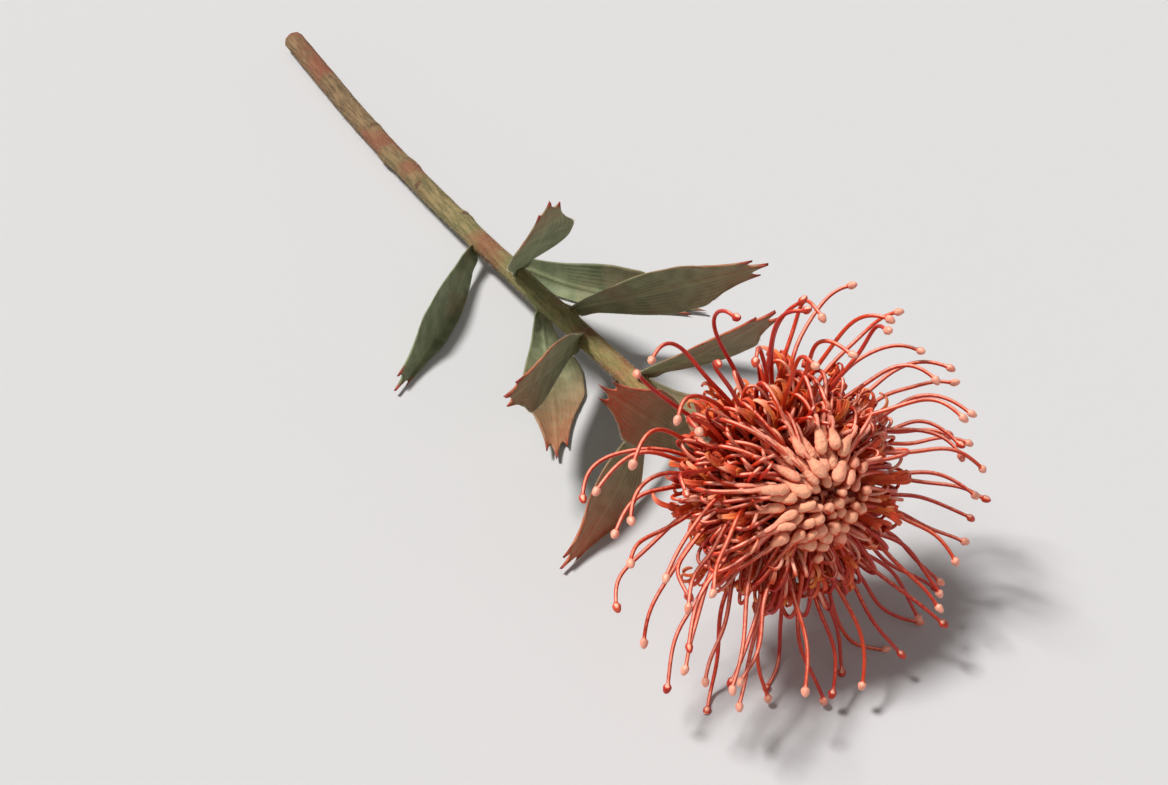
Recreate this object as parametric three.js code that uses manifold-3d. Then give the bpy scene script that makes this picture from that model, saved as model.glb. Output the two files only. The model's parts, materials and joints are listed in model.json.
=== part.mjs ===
// Painted apricot pincushion: one cut stem of Leucospermum, laid on a table.
// Millimetres, +Z up. The bloom faces -Y, the cut end of the stem points to +Y, and the table is at z = 0.
import * as THREE from 'three';
import { mergeVertices } from 'three/addons/utils/BufferGeometryUtils.js';
import Module from 'manifold-3d';

const wasm = await Module();
wasm.setup();

// Bloom: its axis points up at this angle from the table, and its florets stand on a small core
const BLOOM_TILT = 35;
const HEAD_HEIGHT = 44;
const CORE_RADIUS = 10.6;
const CORE_BOTTOM = -3.7;
const CORE_TOP = 7;
const PIT_RADIUS = 7.6;
const PIT_FLOOR = 2;
const GAP = 0.3;
const CORE_SIDES = 20;

// Florets, numbered outwards from the centre of the head, one golden angle apart
const GOLDEN_ANGLE = 137.508;
const CLOSED_FLORETS = 22;
const LOOPED_FLORETS = 28;
const FREE_FLORETS = 62;

// Closed and looped florets end in a club, the unopened tips of the perianth
const CLUB_LENGTH = 7.4;
const CLUB_RADIUS = 1.75;
const CLUB_RINGS = [[0, 0.6], [0.35, 1.05], [0.85, 0.85]];
const CLOSED_TUBE_RADIUS = [0.9, 0.8];
const CLOSED_WAIST_HEIGHT = 14;
const CLOSED_ROOT = 6.2;
const CLOSED_WAIST = 8;
const CLOSED_CLUB = 9.4;
const CLOSED_TIP = 6.4;
const CLOSED_HEIGHT = [19, 21.5];
const LOOP_CLUB_HEIGHT = [29.5, 26];
const LOOP_CLUB_RADIUS = [3.4, 12.5];
const LOOP_CLUB_LEAN = [58, 68];
const LOOP_REACH = [32, 40];
const LOOP_SAG = 5;
const LOOP_ROOT_RADIUS = [8.9, 9.6];
const LOOP_ROOT_HEIGHT = [5.6, 3.4];
const LOOP_BELLY_HEIGHT = [9, 4];
const LOOP_CROWN_RISE = [3, -4];
const LOOP_SEGMENTS = 7;

// Free styles: wiry, arched out from the core, with a knob at the tip
const STYLE_STEPS = 42;
const STYLE_STOPS = [0, 12, 22, 30, 35, 39, 42];
const STYLE_ROOT_HEIGHT = [5, -1.6];
const STYLE_SUNK = 1.6;
const STYLE_LENGTH = [47, 53];
const STYLE_RADIUS = [0.85, 0.62];
const STYLE_LEAN = [36, 91];
const STYLE_BOW = [22, -16];
const STYLE_DROOP = 0.85;
const STYLE_HOOK = 60;
const STYLE_HOOK_START = 0.62;
const KNOB_RADIUS = 1.3;
const KNOB_LENGTH = 2.7;

// Perianth of an opened floret: a strap that rolls back on itself
const STRAP_STEPS = 24;
const STRAP_STOPS = [0, 13, 16, 19, 22, 24];
const STRAP_SIZES = [0.8, 1, 1, 0.95, 0.85, 0.6];
const STRAP_LENGTH = 18;
const STRAP_ROLL_LENGTH = 11;
const STRAP_ROLL = 260;
const STRAP_HALF_WIDTH = 1.15;
const STRAP_FLATNESS = 0.55;
const STRAP_OFFSET = 0.26;
const STRAPS = 34;

// Receptacle with its bracts, between the stem and the core
const RECEPTACLE_BOTTOM = -16;
const RECEPTACLE_TOP = CORE_BOTTOM - GAP;
const RECEPTACLE_RADIUS = 9.8;
const NECK_RADIUS = 3.7;
const RECEPTACLE_RIM = 2.4;
const BRACT_ROWS = 3;
const BRACTS_IN_ROW = 8;
const BRACT_LENGTH = 8.5;
const BRACT_HALF_WIDTH = 2.9;
const BRACT_FLATNESS = 0.22;
const BRACT_SUNK = 1.3;
const BRACT_LEAN = [40, 58];
const BRACT_RISE = [0.16, 0.74];

// Stem: it leaves the receptacle along the bloom's axis, bends down and lies flat at its cut end
const STEM_LENGTH_Y = 322;
const STEM_TAIL = 42;
const STEM_TAIL_RADIUS = 4.1;
const STEM_SIDES = 10;
const STEM_BEND_Y = 60;
const STEM_BEND_HEIGHT = 18;
const STEM_BEND_ASIDE = 3;
const STEM_TAIL_ASIDE = -5;
const STEM_WAY_AT_BEND = [-0.03, 1, -0.11];
const STEM_HANDLES = [26, 22, 80, 80];
const STEM_FLARE = 0.5;
const STEM_FLARE_LENGTH = 9;
const CUSHION_HEIGHT = 1.1;
const CUSHION_LENGTH = 3.4;

// Leaves in a spiral on the upper stem, and the scars of the stripped ones below them
const LEAVES = 11;
const SCARS = 6;
const FIRST_LEAF = 22;
const LEAF_STEP = 14;
const LEAF_FIRST_TURN = 54;
const LEAF_THICKNESS = 0.8;
const LEAF_STEPS = 28;
const LEAF_ROWS = 7;
const LEAF_COLUMNS = 6;
const LEAF_TOOTH = 2.6;
const LEAF_CUP = 0.14;
const LEAF_LENGTH = [46, 66];
const LEAF_HALF_WIDTH = [9, 12];
const LEAF_LEAN = [64, 44];
const LEAF_ARCH = [20, 12];
const LEAF_SOFTNESS = 1.5;

// Everything eases off level over this height above the table
const TABLE_EASE = 3.5;
const STYLE_CLEARANCE = 0.1;
const LEAF_CLEARANCE = 0.7;

const FUSE_TOLERANCE = 0.05;

const { lerp, clamp, degToRad, smoothstep } = THREE.MathUtils;

// A repeatable random number from 0 to 1 for piece number i
function chance(i, stream) {
  const x = Math.sin(i * 127.1 + stream * 311.7) * 43758.5453;
  return x - Math.floor(x);
}

function vary(i, stream, most) {
  return (2 * chance(i, stream) - 1) * most;
}

function between(range, share) {
  return lerp(range[0], range[1], share);
}

// The bloom's own frame: AXIS points out of its face, SIDE and UP lie across it
const tilt = degToRad(BLOOM_TILT);
const HEAD = new THREE.Vector3(0, 0, HEAD_HEIGHT);
const AXIS = new THREE.Vector3(0, -Math.cos(tilt), Math.sin(tilt));
const SIDE = new THREE.Vector3(1, 0, 0);
const UP = new THREE.Vector3(0, Math.sin(tilt), Math.cos(tilt));
const DOWN = new THREE.Vector3(0, 0, -1);

function outward(turn) {
  return SIDE.clone().multiplyScalar(Math.cos(turn)).addScaledVector(UP, Math.sin(turn));
}

function headPoint(radius, turn, height, aside = 0) {
  const across = outward(turn + Math.PI / 2);
  return HEAD.clone()
    .addScaledVector(outward(turn), radius)
    .addScaledVector(across, aside)
    .addScaledVector(AXIS, height);
}

function floretTurn(number) {
  return degToRad(number * GOLDEN_ANGLE);
}

// A closed mesh from its vertices and triangles
function meshOf(vertices, triangles) {
  const geometry = new THREE.BufferGeometry();
  const numbers = vertices.flatMap((vertex) => vertex.toArray());
  geometry.setAttribute('position', new THREE.Float32BufferAttribute(numbers, 3));
  geometry.setIndex(triangles.flat());
  return geometry;
}

function solidOf(geometry) {
  const bare = geometry.clone();
  bare.deleteAttribute('normal');
  bare.deleteAttribute('uv');
  const merged = mergeVertices(bare, 1e-4);
  return new wasm.Manifold(new wasm.Mesh({
    numProp: 3,
    vertProperties: merged.attributes.position.array,
    triVerts: new Uint32Array(merged.index.array),
  }));
}

function geometryOf(solid) {
  const mesh = solid.getMesh();
  const geometry = new THREE.BufferGeometry();
  geometry.setAttribute('position', new THREE.BufferAttribute(mesh.vertProperties, 3));
  geometry.setIndex(new THREE.BufferAttribute(mesh.triVerts, 1));
  return geometry;
}

function fuse(geometries) {
  return wasm.Manifold.union(geometries.map(solidOf)).simplify(FUSE_TOLERANCE);
}

// A closed tube along points, with a radius at each, ending in a point where its last radius is 0.
// across is the side that a flattened section is wide on.
function sweep(points, radii, sides, across, flatness = 1) {
  const vertices = [];
  const triangles = [];
  let wide = across.clone();
  points.forEach((point, k) => {
    const ahead = points[Math.min(k + 1, points.length - 1)];
    const behind = points[Math.max(k - 1, 0)];
    const along = ahead.clone().sub(behind).normalize();
    wide = wide.clone().addScaledVector(along, -wide.dot(along)).normalize();
    const thin = along.clone().cross(wide);
    const corners = radii[k] === 0 ? 1 : sides;
    for (let s = 0; s < corners; s += 1) {
      const angle = (2 * Math.PI * s) / sides;
      vertices.push(point.clone()
        .addScaledVector(wide, Math.cos(angle) * radii[k])
        .addScaledVector(thin, Math.sin(angle) * radii[k] * flatness));
    }
  });
  for (let k = 0; k < points.length - 1; k += 1) {
    for (let s = 0; s < sides; s += 1) {
      const a = k * sides + s;
      const b = k * sides + ((s + 1) % sides);
      if (radii[k + 1] === 0) {
        triangles.push([a, b, (k + 1) * sides]);
      } else {
        triangles.push([a, b, b + sides], [a, b + sides, a + sides]);
      }
    }
  }
  for (let s = 1; s < sides - 1; s += 1) triangles.push([0, s + 1, s]);
  const last = (points.length - 1) * sides;
  if (radii[points.length - 1] > 0) {
    for (let s = 1; s < sides - 1; s += 1) triangles.push([last, last + s, last + s + 1]);
  }
  return meshOf(vertices, triangles);
}

// A closed blade of even thickness over surface(u, v), split into triangles alike on both faces
function blade(surface, rows, columns, thickness) {
  const vertices = [];
  const triangles = [];
  const nudge = 1e-3;
  for (const face of [0.5, -0.5]) {
    for (let row = 0; row <= rows; row += 1) {
      for (let column = 0; column <= columns; column += 1) {
        const u = row / rows;
        const v = (2 * column) / columns - 1;
        const point = surface(u, v);
        const along = surface(u + nudge, v).sub(surface(u - nudge, v));
        const across = surface(u, v + nudge).sub(surface(u, v - nudge));
        const normal = along.cross(across).normalize();
        vertices.push(point.addScaledVector(normal, face * thickness(u, v)));
      }
    }
  }
  const wide = columns + 1;
  const back = (rows + 1) * wide;
  for (let row = 0; row < rows; row += 1) {
    for (let column = 0; column < columns; column += 1) {
      const a = row * wide + column;
      const c = a + wide;
      triangles.push([a, c, c + 1], [a, c + 1, a + 1]);
      triangles.push([back + a, back + c + 1, back + c], [back + a, back + a + 1, back + c + 1]);
    }
  }
  const rim = [];
  for (let column = 0; column < columns; column += 1) rim.push(column);
  for (let row = 0; row < rows; row += 1) rim.push(row * wide + columns);
  for (let column = columns; column > 0; column -= 1) rim.push(rows * wide + column);
  for (let row = rows; row > 0; row -= 1) rim.push(row * wide);
  rim.forEach((a, k) => {
    const b = rim[(k + 1) % rim.length];
    triangles.push([a, b, back + b], [a, back + b, back + a]);
  });
  return meshOf(vertices, triangles);
}

// Walks from start in even steps along heading(t), and levels off just above the table
function walk(start, length, steps, clearance, heading) {
  const place = start.clone();
  const points = [start.clone()];
  for (let step = 0; step < steps; step += 1) {
    const direction = heading((step + 0.5) / steps);
    direction.z *= clamp((place.z - clearance) / TABLE_EASE, 0, 1);
    place.addScaledVector(direction.normalize(), length / steps);
    points.push(place.clone());
  }
  return points;
}

// Free florets, numbered from the innermost
function freeFloret(i) {
  const share = i / (FREE_FLORETS - 1);
  return {
    share,
    turn: floretTurn(CLOSED_FLORETS + LOOPED_FLORETS + i),
    height: between(STYLE_ROOT_HEIGHT, share),
    lean: between(STYLE_LEAN, share ** 0.85) + vary(i, 1, 6),
  };
}

// A style leans out, bows, droops and hooks at its tip. One that hangs towards the table hooks least.
function styleLine(i) {
  const { share, turn, height, lean } = freeFloret(i);
  const bow = between(STYLE_BOW, share) + vary(i, 2, 9);
  const hanging = Math.max(0, -Math.sin(turn));
  const hook = STYLE_HOOK * (0.1 + chance(i, 3)) * (1 - 0.9 * hanging);
  const swing = vary(i, 4, 13);
  const hookSwing = vary(i, 5, 45);
  const start = headPoint(CORE_RADIUS - STYLE_SUNK, turn, height);
  const length = between(STYLE_LENGTH, share) + vary(i, 6, 3.5);
  return walk(start, length, STYLE_STEPS, STYLE_CLEARANCE, (t) => {
    const tip = smoothstep(t, STYLE_HOOK_START, 1);
    const angle = degToRad(lean + bow * t - hook * tip);
    const facing = outward(turn + degToRad(swing * t + hookSwing * tip));
    return AXIS.clone().multiplyScalar(Math.cos(angle))
      .addScaledVector(facing, Math.sin(angle))
      .addScaledVector(DOWN, STYLE_DROOP * t * t);
  });
}

function freeStyle(i) {
  const line = styleLine(i);
  const points = STYLE_STOPS.map((step) => line[step]);
  const radii = STYLE_STOPS.map((step) => between(STYLE_RADIUS, step / STYLE_STEPS));
  const end = line[STYLE_STEPS];
  const ahead = end.clone().sub(line[STYLE_STEPS - 1]).normalize();
  for (const [share, size] of [[0.35, 1], [0.72, 0.85], [1, 0]]) {
    points.push(end.clone().addScaledVector(ahead, KNOB_LENGTH * share));
    radii.push(KNOB_RADIUS * size);
  }
  return sweep(points, radii, 3, outward(floretTurn(i) + Math.PI / 2));
}

function rolledStrap(i) {
  const { turn, height, lean } = freeFloret(i);
  const length = STRAP_LENGTH + STRAP_ROLL_LENGTH + vary(i, 7, 3);
  const straight = STRAP_LENGTH / (STRAP_LENGTH + STRAP_ROLL_LENGTH);
  const facing = turn + STRAP_OFFSET;
  const start = headPoint(CORE_RADIUS - STYLE_SUNK, facing, height);
  const line = walk(start, length, STRAP_STEPS, STYLE_CLEARANCE, (t) => {
    const angle = degToRad(lean - 7 + (STRAP_ROLL * Math.max(0, t - straight)) / (1 - straight));
    return AXIS.clone().multiplyScalar(Math.cos(angle)).addScaledVector(outward(facing), Math.sin(angle));
  });
  const points = STRAP_STOPS.map((step) => line[step]);
  const radii = STRAP_SIZES.map((size) => size * STRAP_HALF_WIDTH);
  return sweep(points, radii, 3, outward(turn + Math.PI / 2), STRAP_FLATNESS);
}

// Club: from its base to its tip, as the last part of a floret's tube
function clubbed(points, radii, base, tip) {
  CLUB_RINGS.forEach(([share, size]) => {
    points.push(base.clone().lerp(tip, share));
    radii.push(CLUB_RADIUS * size);
  });
  points.push(tip);
  radii.push(0);
}

function closedFloret(i) {
  const turn = floretTurn(i);
  const share = Math.sqrt((i + 0.5) / CLOSED_FLORETS);
  const top = between(CLOSED_HEIGHT, share) + vary(i, 8, 1);
  const points = [
    headPoint(CLOSED_ROOT * share, turn, CORE_TOP),
    headPoint(CLOSED_WAIST * share, turn, CLOSED_WAIST_HEIGHT),
  ];
  const base = headPoint(CLOSED_CLUB * share, turn, top - CLUB_LENGTH);
  const tip = headPoint(CLOSED_TIP * share + 0.4, turn, top, vary(i, 9, 1));
  const radii = [...CLOSED_TUBE_RADIUS];
  clubbed(points, radii, base, tip);
  return sweep(points, radii, 4, outward(turn + Math.PI / 2));
}

// Looped floret: its style bows far out from the core and comes back to the club that still holds its tip
function loopedFloret(i) {
  const turn = floretTurn(CLOSED_FLORETS + i);
  const share = i / (LOOPED_FLORETS - 1);
  const tipRadius = between(LOOP_CLUB_RADIUS, share);
  const tipHeight = between(LOOP_CLUB_HEIGHT, share) + vary(i, 10, 1);
  const aside = vary(i, 11, 1.2);
  const lean = degToRad(between(LOOP_CLUB_LEAN, share));
  const clubPoint = (back) => headPoint(
    tipRadius + Math.sin(lean) * back,
    turn,
    tipHeight - Math.cos(lean) * back,
    aside,
  );
  const reach = between(LOOP_REACH, share) + vary(i, 12, 2.5);
  const swing = vary(i, 13, 4.5);
  const crownHeight = tipHeight + between(LOOP_CROWN_RISE, share);
  const bow = new THREE.CubicBezierCurve3(
    headPoint(between(LOOP_ROOT_RADIUS, share), turn, between(LOOP_ROOT_HEIGHT, share)),
    headPoint(reach, turn, between(LOOP_BELLY_HEIGHT, share), -swing).addScaledVector(DOWN, LOOP_SAG),
    headPoint(reach, turn, crownHeight, swing).addScaledVector(DOWN, LOOP_SAG),
    clubPoint(CLUB_LENGTH),
  );
  const points = bow.getPoints(LOOP_SEGMENTS).slice(0, LOOP_SEGMENTS);
  const radii = points.map(() => STYLE_RADIUS[0] * 0.92);
  clubbed(points, radii, clubPoint(CLUB_LENGTH), clubPoint(0));
  return sweep(points, radii, 3, outward(turn + Math.PI / 2));
}

// Turned solids stand on the bloom's axis
function turned(profile) {
  const outline = profile.map(([radius, height]) => new THREE.Vector2(radius, height));
  const lathe = new THREE.LatheGeometry(outline, CORE_SIDES);
  const stand = new THREE.Quaternion().setFromUnitVectors(new THREE.Vector3(0, 1, 0), AXIS);
  return lathe.applyQuaternion(stand).translate(HEAD.x, HEAD.y, HEAD.z);
}

function openFlorets() {
  const pieces = [turned([
    [0, CORE_BOTTOM],
    [CORE_RADIUS - 1, CORE_BOTTOM],
    [CORE_RADIUS, CORE_BOTTOM + 2.5],
    [CORE_RADIUS, CORE_TOP - 2.5],
    [CORE_RADIUS - 1.2, CORE_TOP],
    [PIT_RADIUS, CORE_TOP],
    [PIT_RADIUS, PIT_FLOOR],
    [0, PIT_FLOOR],
  ])];
  for (let i = 0; i < LOOPED_FLORETS; i += 1) pieces.push(loopedFloret(i));
  for (let i = 0; i < FREE_FLORETS; i += 1) pieces.push(freeStyle(i));
  for (let i = 0; i < STRAPS; i += 1) pieces.push(rolledStrap(i));
  return fuse(pieces);
}

function budFlorets() {
  const pieces = [turned([
    [0, PIT_FLOOR + GAP],
    [PIT_RADIUS - GAP, PIT_FLOOR + GAP],
    [PIT_RADIUS - GAP, CORE_TOP],
    [PIT_RADIUS - 2, CORE_TOP + 1.8],
    [0, CORE_TOP + 2.6],
  ])];
  for (let i = 0; i < CLOSED_FLORETS; i += 1) pieces.push(closedFloret(i));
  return fuse(pieces);
}

// Receptacle: a cone under the core, with pointed bracts in overlapping rows
function involucre() {
  const pieces = [turned([
    [0, RECEPTACLE_BOTTOM],
    [NECK_RADIUS, RECEPTACLE_BOTTOM],
    [RECEPTACLE_RADIUS, RECEPTACLE_TOP - RECEPTACLE_RIM],
    [RECEPTACLE_RADIUS, RECEPTACLE_TOP],
    [0, RECEPTACLE_TOP],
  ])];
  const flank = RECEPTACLE_TOP - RECEPTACLE_RIM - RECEPTACLE_BOTTOM;
  for (let row = 0; row < BRACT_ROWS; row += 1) {
    const share = row / (BRACT_ROWS - 1);
    const lean = degToRad(between(BRACT_LEAN, share));
    const rise = flank * between(BRACT_RISE, share);
    const rootRadius = lerp(NECK_RADIUS, RECEPTACLE_RADIUS, rise / flank) - BRACT_SUNK;
    for (let n = 0; n < BRACTS_IN_ROW; n += 1) {
      const turn = (2 * Math.PI * (n + row / 2)) / BRACTS_IN_ROW;
      const line = [0, 0.5, 1].map((part) => headPoint(
        rootRadius + Math.sin(lean) * BRACT_LENGTH * part,
        turn,
        RECEPTACLE_BOTTOM + rise + Math.cos(lean) * BRACT_LENGTH * part,
      ));
      const radii = [0.8, 1, 0].map((size) => size * BRACT_HALF_WIDTH);
      pieces.push(sweep(line, radii, 4, outward(turn + Math.PI / 2), BRACT_FLATNESS));
    }
  }
  return fuse(pieces);
}

// Stem: two bends and a straight tail, as one path from the receptacle to the cut end
const stemTop = headPoint(0, 0, RECEPTACLE_BOTTOM - GAP);
const tailHeight = STEM_TAIL_RADIUS * Math.cos(Math.PI / STEM_SIDES);
const bend = new THREE.Vector3(STEM_BEND_ASIDE, stemTop.y + STEM_BEND_Y, STEM_BEND_HEIGHT);
const bendWay = new THREE.Vector3(...STEM_WAY_AT_BEND);
const tailEnd = new THREE.Vector3(STEM_TAIL_ASIDE, stemTop.y + STEM_LENGTH_Y, tailHeight);
const tailStart = tailEnd.clone().sub(new THREE.Vector3(0, STEM_TAIL, 0));
const stemPath = new THREE.CurvePath();
stemPath.add(new THREE.CubicBezierCurve3(
  stemTop,
  stemTop.clone().addScaledVector(AXIS, -STEM_HANDLES[0]),
  bend.clone().addScaledVector(bendWay, -STEM_HANDLES[1]),
  bend,
));
stemPath.add(new THREE.CubicBezierCurve3(
  bend,
  bend.clone().addScaledVector(bendWay, STEM_HANDLES[2]),
  tailStart.clone().sub(new THREE.Vector3(0, STEM_HANDLES[3], 0)),
  tailStart,
));
stemPath.add(new THREE.LineCurve3(tailStart, tailEnd));
const stemLength = stemPath.getLength();

function stemRadius(distance) {
  const flare = STEM_FLARE * Math.exp(-distance / STEM_FLARE_LENGTH);
  const taper = Math.min(1, distance / (stemLength - STEM_TAIL));
  return lerp(NECK_RADIUS - STEM_FLARE, STEM_TAIL_RADIUS, taper) + flare;
}

// Where leaf or scar number n sits: its distance from the bloom and its turn about the stem
function attachment(n) {
  return {
    distance: FIRST_LEAF + n * LEAF_STEP + vary(n, 20, 1.5),
    turn: degToRad(LEAF_FIRST_TURN + n * GOLDEN_ANGLE + vary(n, 21, 6)),
  };
}

// The stem's frame at a distance: forward points to the bloom, and turn is measured from +X to +Z
function stemFrame(distance) {
  const share = distance / stemLength;
  const place = stemPath.getPointAt(share);
  const forward = stemPath.getTangentAt(share).negate();
  const right = new THREE.Vector3(0, 0, 1).cross(forward).negate().normalize();
  const over = right.clone().cross(forward).normalize();
  if (over.z < 0) over.negate();
  const radial = (turn) => right.clone().multiplyScalar(Math.cos(turn)).addScaledVector(over, Math.sin(turn));
  return { place, forward, radial };
}

function cushion(distance, turn) {
  let height = 0;
  for (let n = 0; n < LEAVES + SCARS; n += 1) {
    const spot = attachment(n);
    const along = (distance - spot.distance) / CUSHION_LENGTH;
    const facing = Math.max(0, Math.cos(turn - spot.turn));
    height = Math.max(height, CUSHION_HEIGHT * Math.exp(-along * along) * facing ** 4);
  }
  return height;
}

function stem() {
  const distances = [0, 6, 13];
  for (let n = 0; n < LEAVES + SCARS; n += 1) {
    const spot = attachment(n).distance;
    distances.push(spot - CUSHION_LENGTH, spot, spot + CUSHION_LENGTH);
  }
  distances.push(stemLength - STEM_TAIL, stemLength);
  const vertices = [];
  const triangles = [];
  distances.forEach((distance) => {
    const { place, radial } = stemFrame(distance);
    for (let s = 0; s < STEM_SIDES; s += 1) {
      const turn = (2 * Math.PI * s) / STEM_SIDES;
      const radius = stemRadius(distance) + cushion(distance, turn);
      const corner = place.clone().addScaledVector(radial(turn), radius);
      corner.z = Math.max(corner.z, 0);
      vertices.push(corner);
    }
  });
  for (let k = 0; k < distances.length - 1; k += 1) {
    for (let s = 0; s < STEM_SIDES; s += 1) {
      const a = k * STEM_SIDES + s;
      const b = k * STEM_SIDES + ((s + 1) % STEM_SIDES);
      triangles.push([a, b, b + STEM_SIDES], [a, b + STEM_SIDES, a + STEM_SIDES]);
    }
  }
  const last = (distances.length - 1) * STEM_SIDES;
  for (let s = 1; s < STEM_SIDES - 1; s += 1) {
    triangles.push([0, s + 1, s]);
    triangles.push([last, last + s, last + s + 1]);
  }
  return meshOf(vertices, triangles);
}

// Leaf: a leathery blade with blunt teeth at its tip, cupped along its midrib
function leafShape(n) {
  const grown = Math.min(1, n / 3);
  return {
    length: between(LEAF_LENGTH, grown) + vary(n, 22, 4),
    halfWidth: between(LEAF_HALF_WIDTH, grown) + vary(n, 23, 0.8),
    lean: between(LEAF_LEAN, grown) + vary(n, 24, 5),
    arch: between(LEAF_ARCH, grown) + vary(n, 25, 8),
  };
}

function leafOutline(u) {
  return lerp(0.3, 1, smoothstep(u, 0, 0.6)) * lerp(1, 0.5, smoothstep(u, 0.72, 1));
}

function leaf(n) {
  const { distance, turn } = attachment(n);
  const { length, halfWidth, lean, arch } = leafShape(n);
  const { place, forward, radial } = stemFrame(distance);
  const seat = stemRadius(distance) + CUSHION_HEIGHT + GAP + LEAF_THICKNESS / 2;
  const start = place.clone().addScaledVector(radial(turn), seat);
  const across = forward.clone().cross(radial(turn)).normalize();
  const line = walk(start, length, LEAF_STEPS, LEAF_CLEARANCE, (t) => {
    const angle = degToRad(lean + arch * t);
    return forward.clone().multiplyScalar(Math.cos(angle)).addScaledVector(radial(turn), Math.sin(angle));
  });
  const midrib = new THREE.CatmullRomCurve3(line);
  const surface = (u, v) => {
    const tooth = (LEAF_TOOTH / length) * Math.cos(3 * Math.PI * v) * smoothstep(u, 0.7, 1);
    const reach = clamp(u * (0.96 - 0.13 * v * v) + tooth, 0, 1);
    const point = midrib.getPoint(reach);
    const ahead = midrib.getTangent(clamp(reach, 0.01, 0.99));
    const normal = ahead.clone().cross(across).normalize();
    const half = halfWidth * leafOutline(u);
    point.addScaledVector(across, v * half);
    point.addScaledVector(normal, LEAF_CUP * half * v * v);
    const room = (point.z - LEAF_CLEARANCE) / LEAF_SOFTNESS;
    point.z = LEAF_CLEARANCE + LEAF_SOFTNESS * Math.log(1 + Math.exp(room));
    return point;
  };
  return blade(surface, LEAF_ROWS, LEAF_COLUMNS, () => LEAF_THICKNESS);
}

function finish(color, roughness) {
  return new THREE.MeshStandardMaterial({ color, roughness, metalness: 0 });
}

const paint = finish(0xe38a66, 0.75);
const palePaint = finish(0xeba27c, 0.8);
const bractPaint = finish(0xb4644a, 0.8);
const bark = finish(0x77704c, 0.85);
const greyGreen = finish(0x87896b, 0.7);

const part = new THREE.Group();

function add(name, geometry, material) {
  const mesh = new THREE.Mesh(geometry, material);
  mesh.name = name;
  part.add(mesh);
}

// Whatever would reach into the table is pressed flat on it
const bloom = openFlorets().trimByPlane([0, 0, 1], 0);
add('open_florets', geometryOf(bloom), paint);
add('bud_florets', geometryOf(budFlorets()), palePaint);
add('involucre', geometryOf(involucre()), bractPaint);
add('stem', stem(), bark);
for (let n = 0; n < LEAVES; n += 1) {
  add(`leaf_${String(n + 1).padStart(2, '0')}`, leaf(n), greyGreen);
}

// The origin is the middle of the part's box, on the table
const middle = new THREE.Box3().setFromObject(part).getCenter(new THREE.Vector3());
part.position.set(-middle.x, -middle.y, 0);

export default part;
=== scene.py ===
import json
import math

import bpy
import numpy as np
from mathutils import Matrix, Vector


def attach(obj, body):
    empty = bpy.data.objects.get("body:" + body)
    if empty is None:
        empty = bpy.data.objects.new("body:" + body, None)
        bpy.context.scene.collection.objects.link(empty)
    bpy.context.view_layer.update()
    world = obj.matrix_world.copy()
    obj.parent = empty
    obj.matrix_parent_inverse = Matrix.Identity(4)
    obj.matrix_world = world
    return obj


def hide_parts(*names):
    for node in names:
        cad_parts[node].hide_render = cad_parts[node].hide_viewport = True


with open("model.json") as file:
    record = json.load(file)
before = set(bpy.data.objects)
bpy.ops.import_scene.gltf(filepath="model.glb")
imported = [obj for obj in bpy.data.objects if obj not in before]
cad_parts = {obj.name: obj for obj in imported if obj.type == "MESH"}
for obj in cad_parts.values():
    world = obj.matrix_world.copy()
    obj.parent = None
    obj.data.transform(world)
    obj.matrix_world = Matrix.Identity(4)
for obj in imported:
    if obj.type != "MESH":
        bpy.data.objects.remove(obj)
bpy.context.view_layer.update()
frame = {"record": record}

MM = 0.001

# Bloom: its axis points up at this angle from the table, and its florets stand on a small core
BLOOM_TILT = math.radians(35)
HEAD_HEIGHT = 44
CORE_RADIUS = 10.6
CORE_BOTTOM = -3.7
CORE_TOP = 7
CORE_SIDES = 72
TURNED_STEPS = 39
PIT_RADIUS = 7.6

# Florets, numbered outwards from the centre of the head, a golden angle apart. Extra ones fill gaps.
GOLDEN_ANGLE = 137.508
CLOSED_FLORETS = 22
LOOPED_FLORETS = 28
FREE_FLORETS = 62
HAIRPINS = 34
EXTRA_FREE = 8
FIRST_EXTRA = 200
EXTRA_STRAPS = 76
FIRST_EXTRA_STRAP = 300
STYLE_WOBBLE = 1.1

# Clubs, the unopened tips of the perianth, which end the closed and the looped florets
CLUB_LENGTH = 7.4
CLUB_RADIUS = 1.75
CLUB_NECK = 0.38
CLUB_GIRTH = 1.6
CLUB_WIDEST = 0.68
CLUB_SIDES = 20
CLUB_RINGS = 22
CLUB_TEPALS = 4
CLUB_GROOVE = 0.09
CLUB_LUMPS = 0.15
CLUB_LUMP_SIZE = 2.6
CLUB_BEND = 0.6
CLUB_SPOTS = [0.3, 0.6, 0.88]
CLUB_SPOT_RADII = [0.95, 1.4, 1.5]
CLUB_ROUNDS = 40
CLUB_GIVE = 0.35
CLUB_SWING = 1.5
CLUB_VARIATION = 0.22
CLOSED_WAIST_HEIGHT = 14
CLOSED_ROOT = 6.2
CLOSED_WAIST = 8
CLOSED_CLUB = 9.4
CLOSED_TIP = 6.4
CLOSED_HEIGHT = [20.5, 23]
LOOP_CLUB_HEIGHT = [29.5, 26]
LOOP_CLUB_RADIUS = [2.6, 12.5]
LOOP_CLUB_LEAN = [58, 68]
LEAN_SHARE = [0.45, 1.05]
LEAN_VARIATION = 0.25
LEAN_SIDE = 110
LOOP_REACH = [32, 40]
LOOP_SAG = 5
LOOP_ROOT_RADIUS = [8.9, 9.6]
LOOP_ROOT_HEIGHT = [5.6, 3.4]
LOOP_BELLY_HEIGHT = [9, 4]
LOOP_CROWN_RISE = [3, -4]
LOOP_LEAD = 7
TUBE_LEAD = 3.5
LOOP_SEGMENTS = 40
LOOP_PALE = [0.5, 1]
LOOP_STYLE_RADIUS = [0.66, 0.56]
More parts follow.
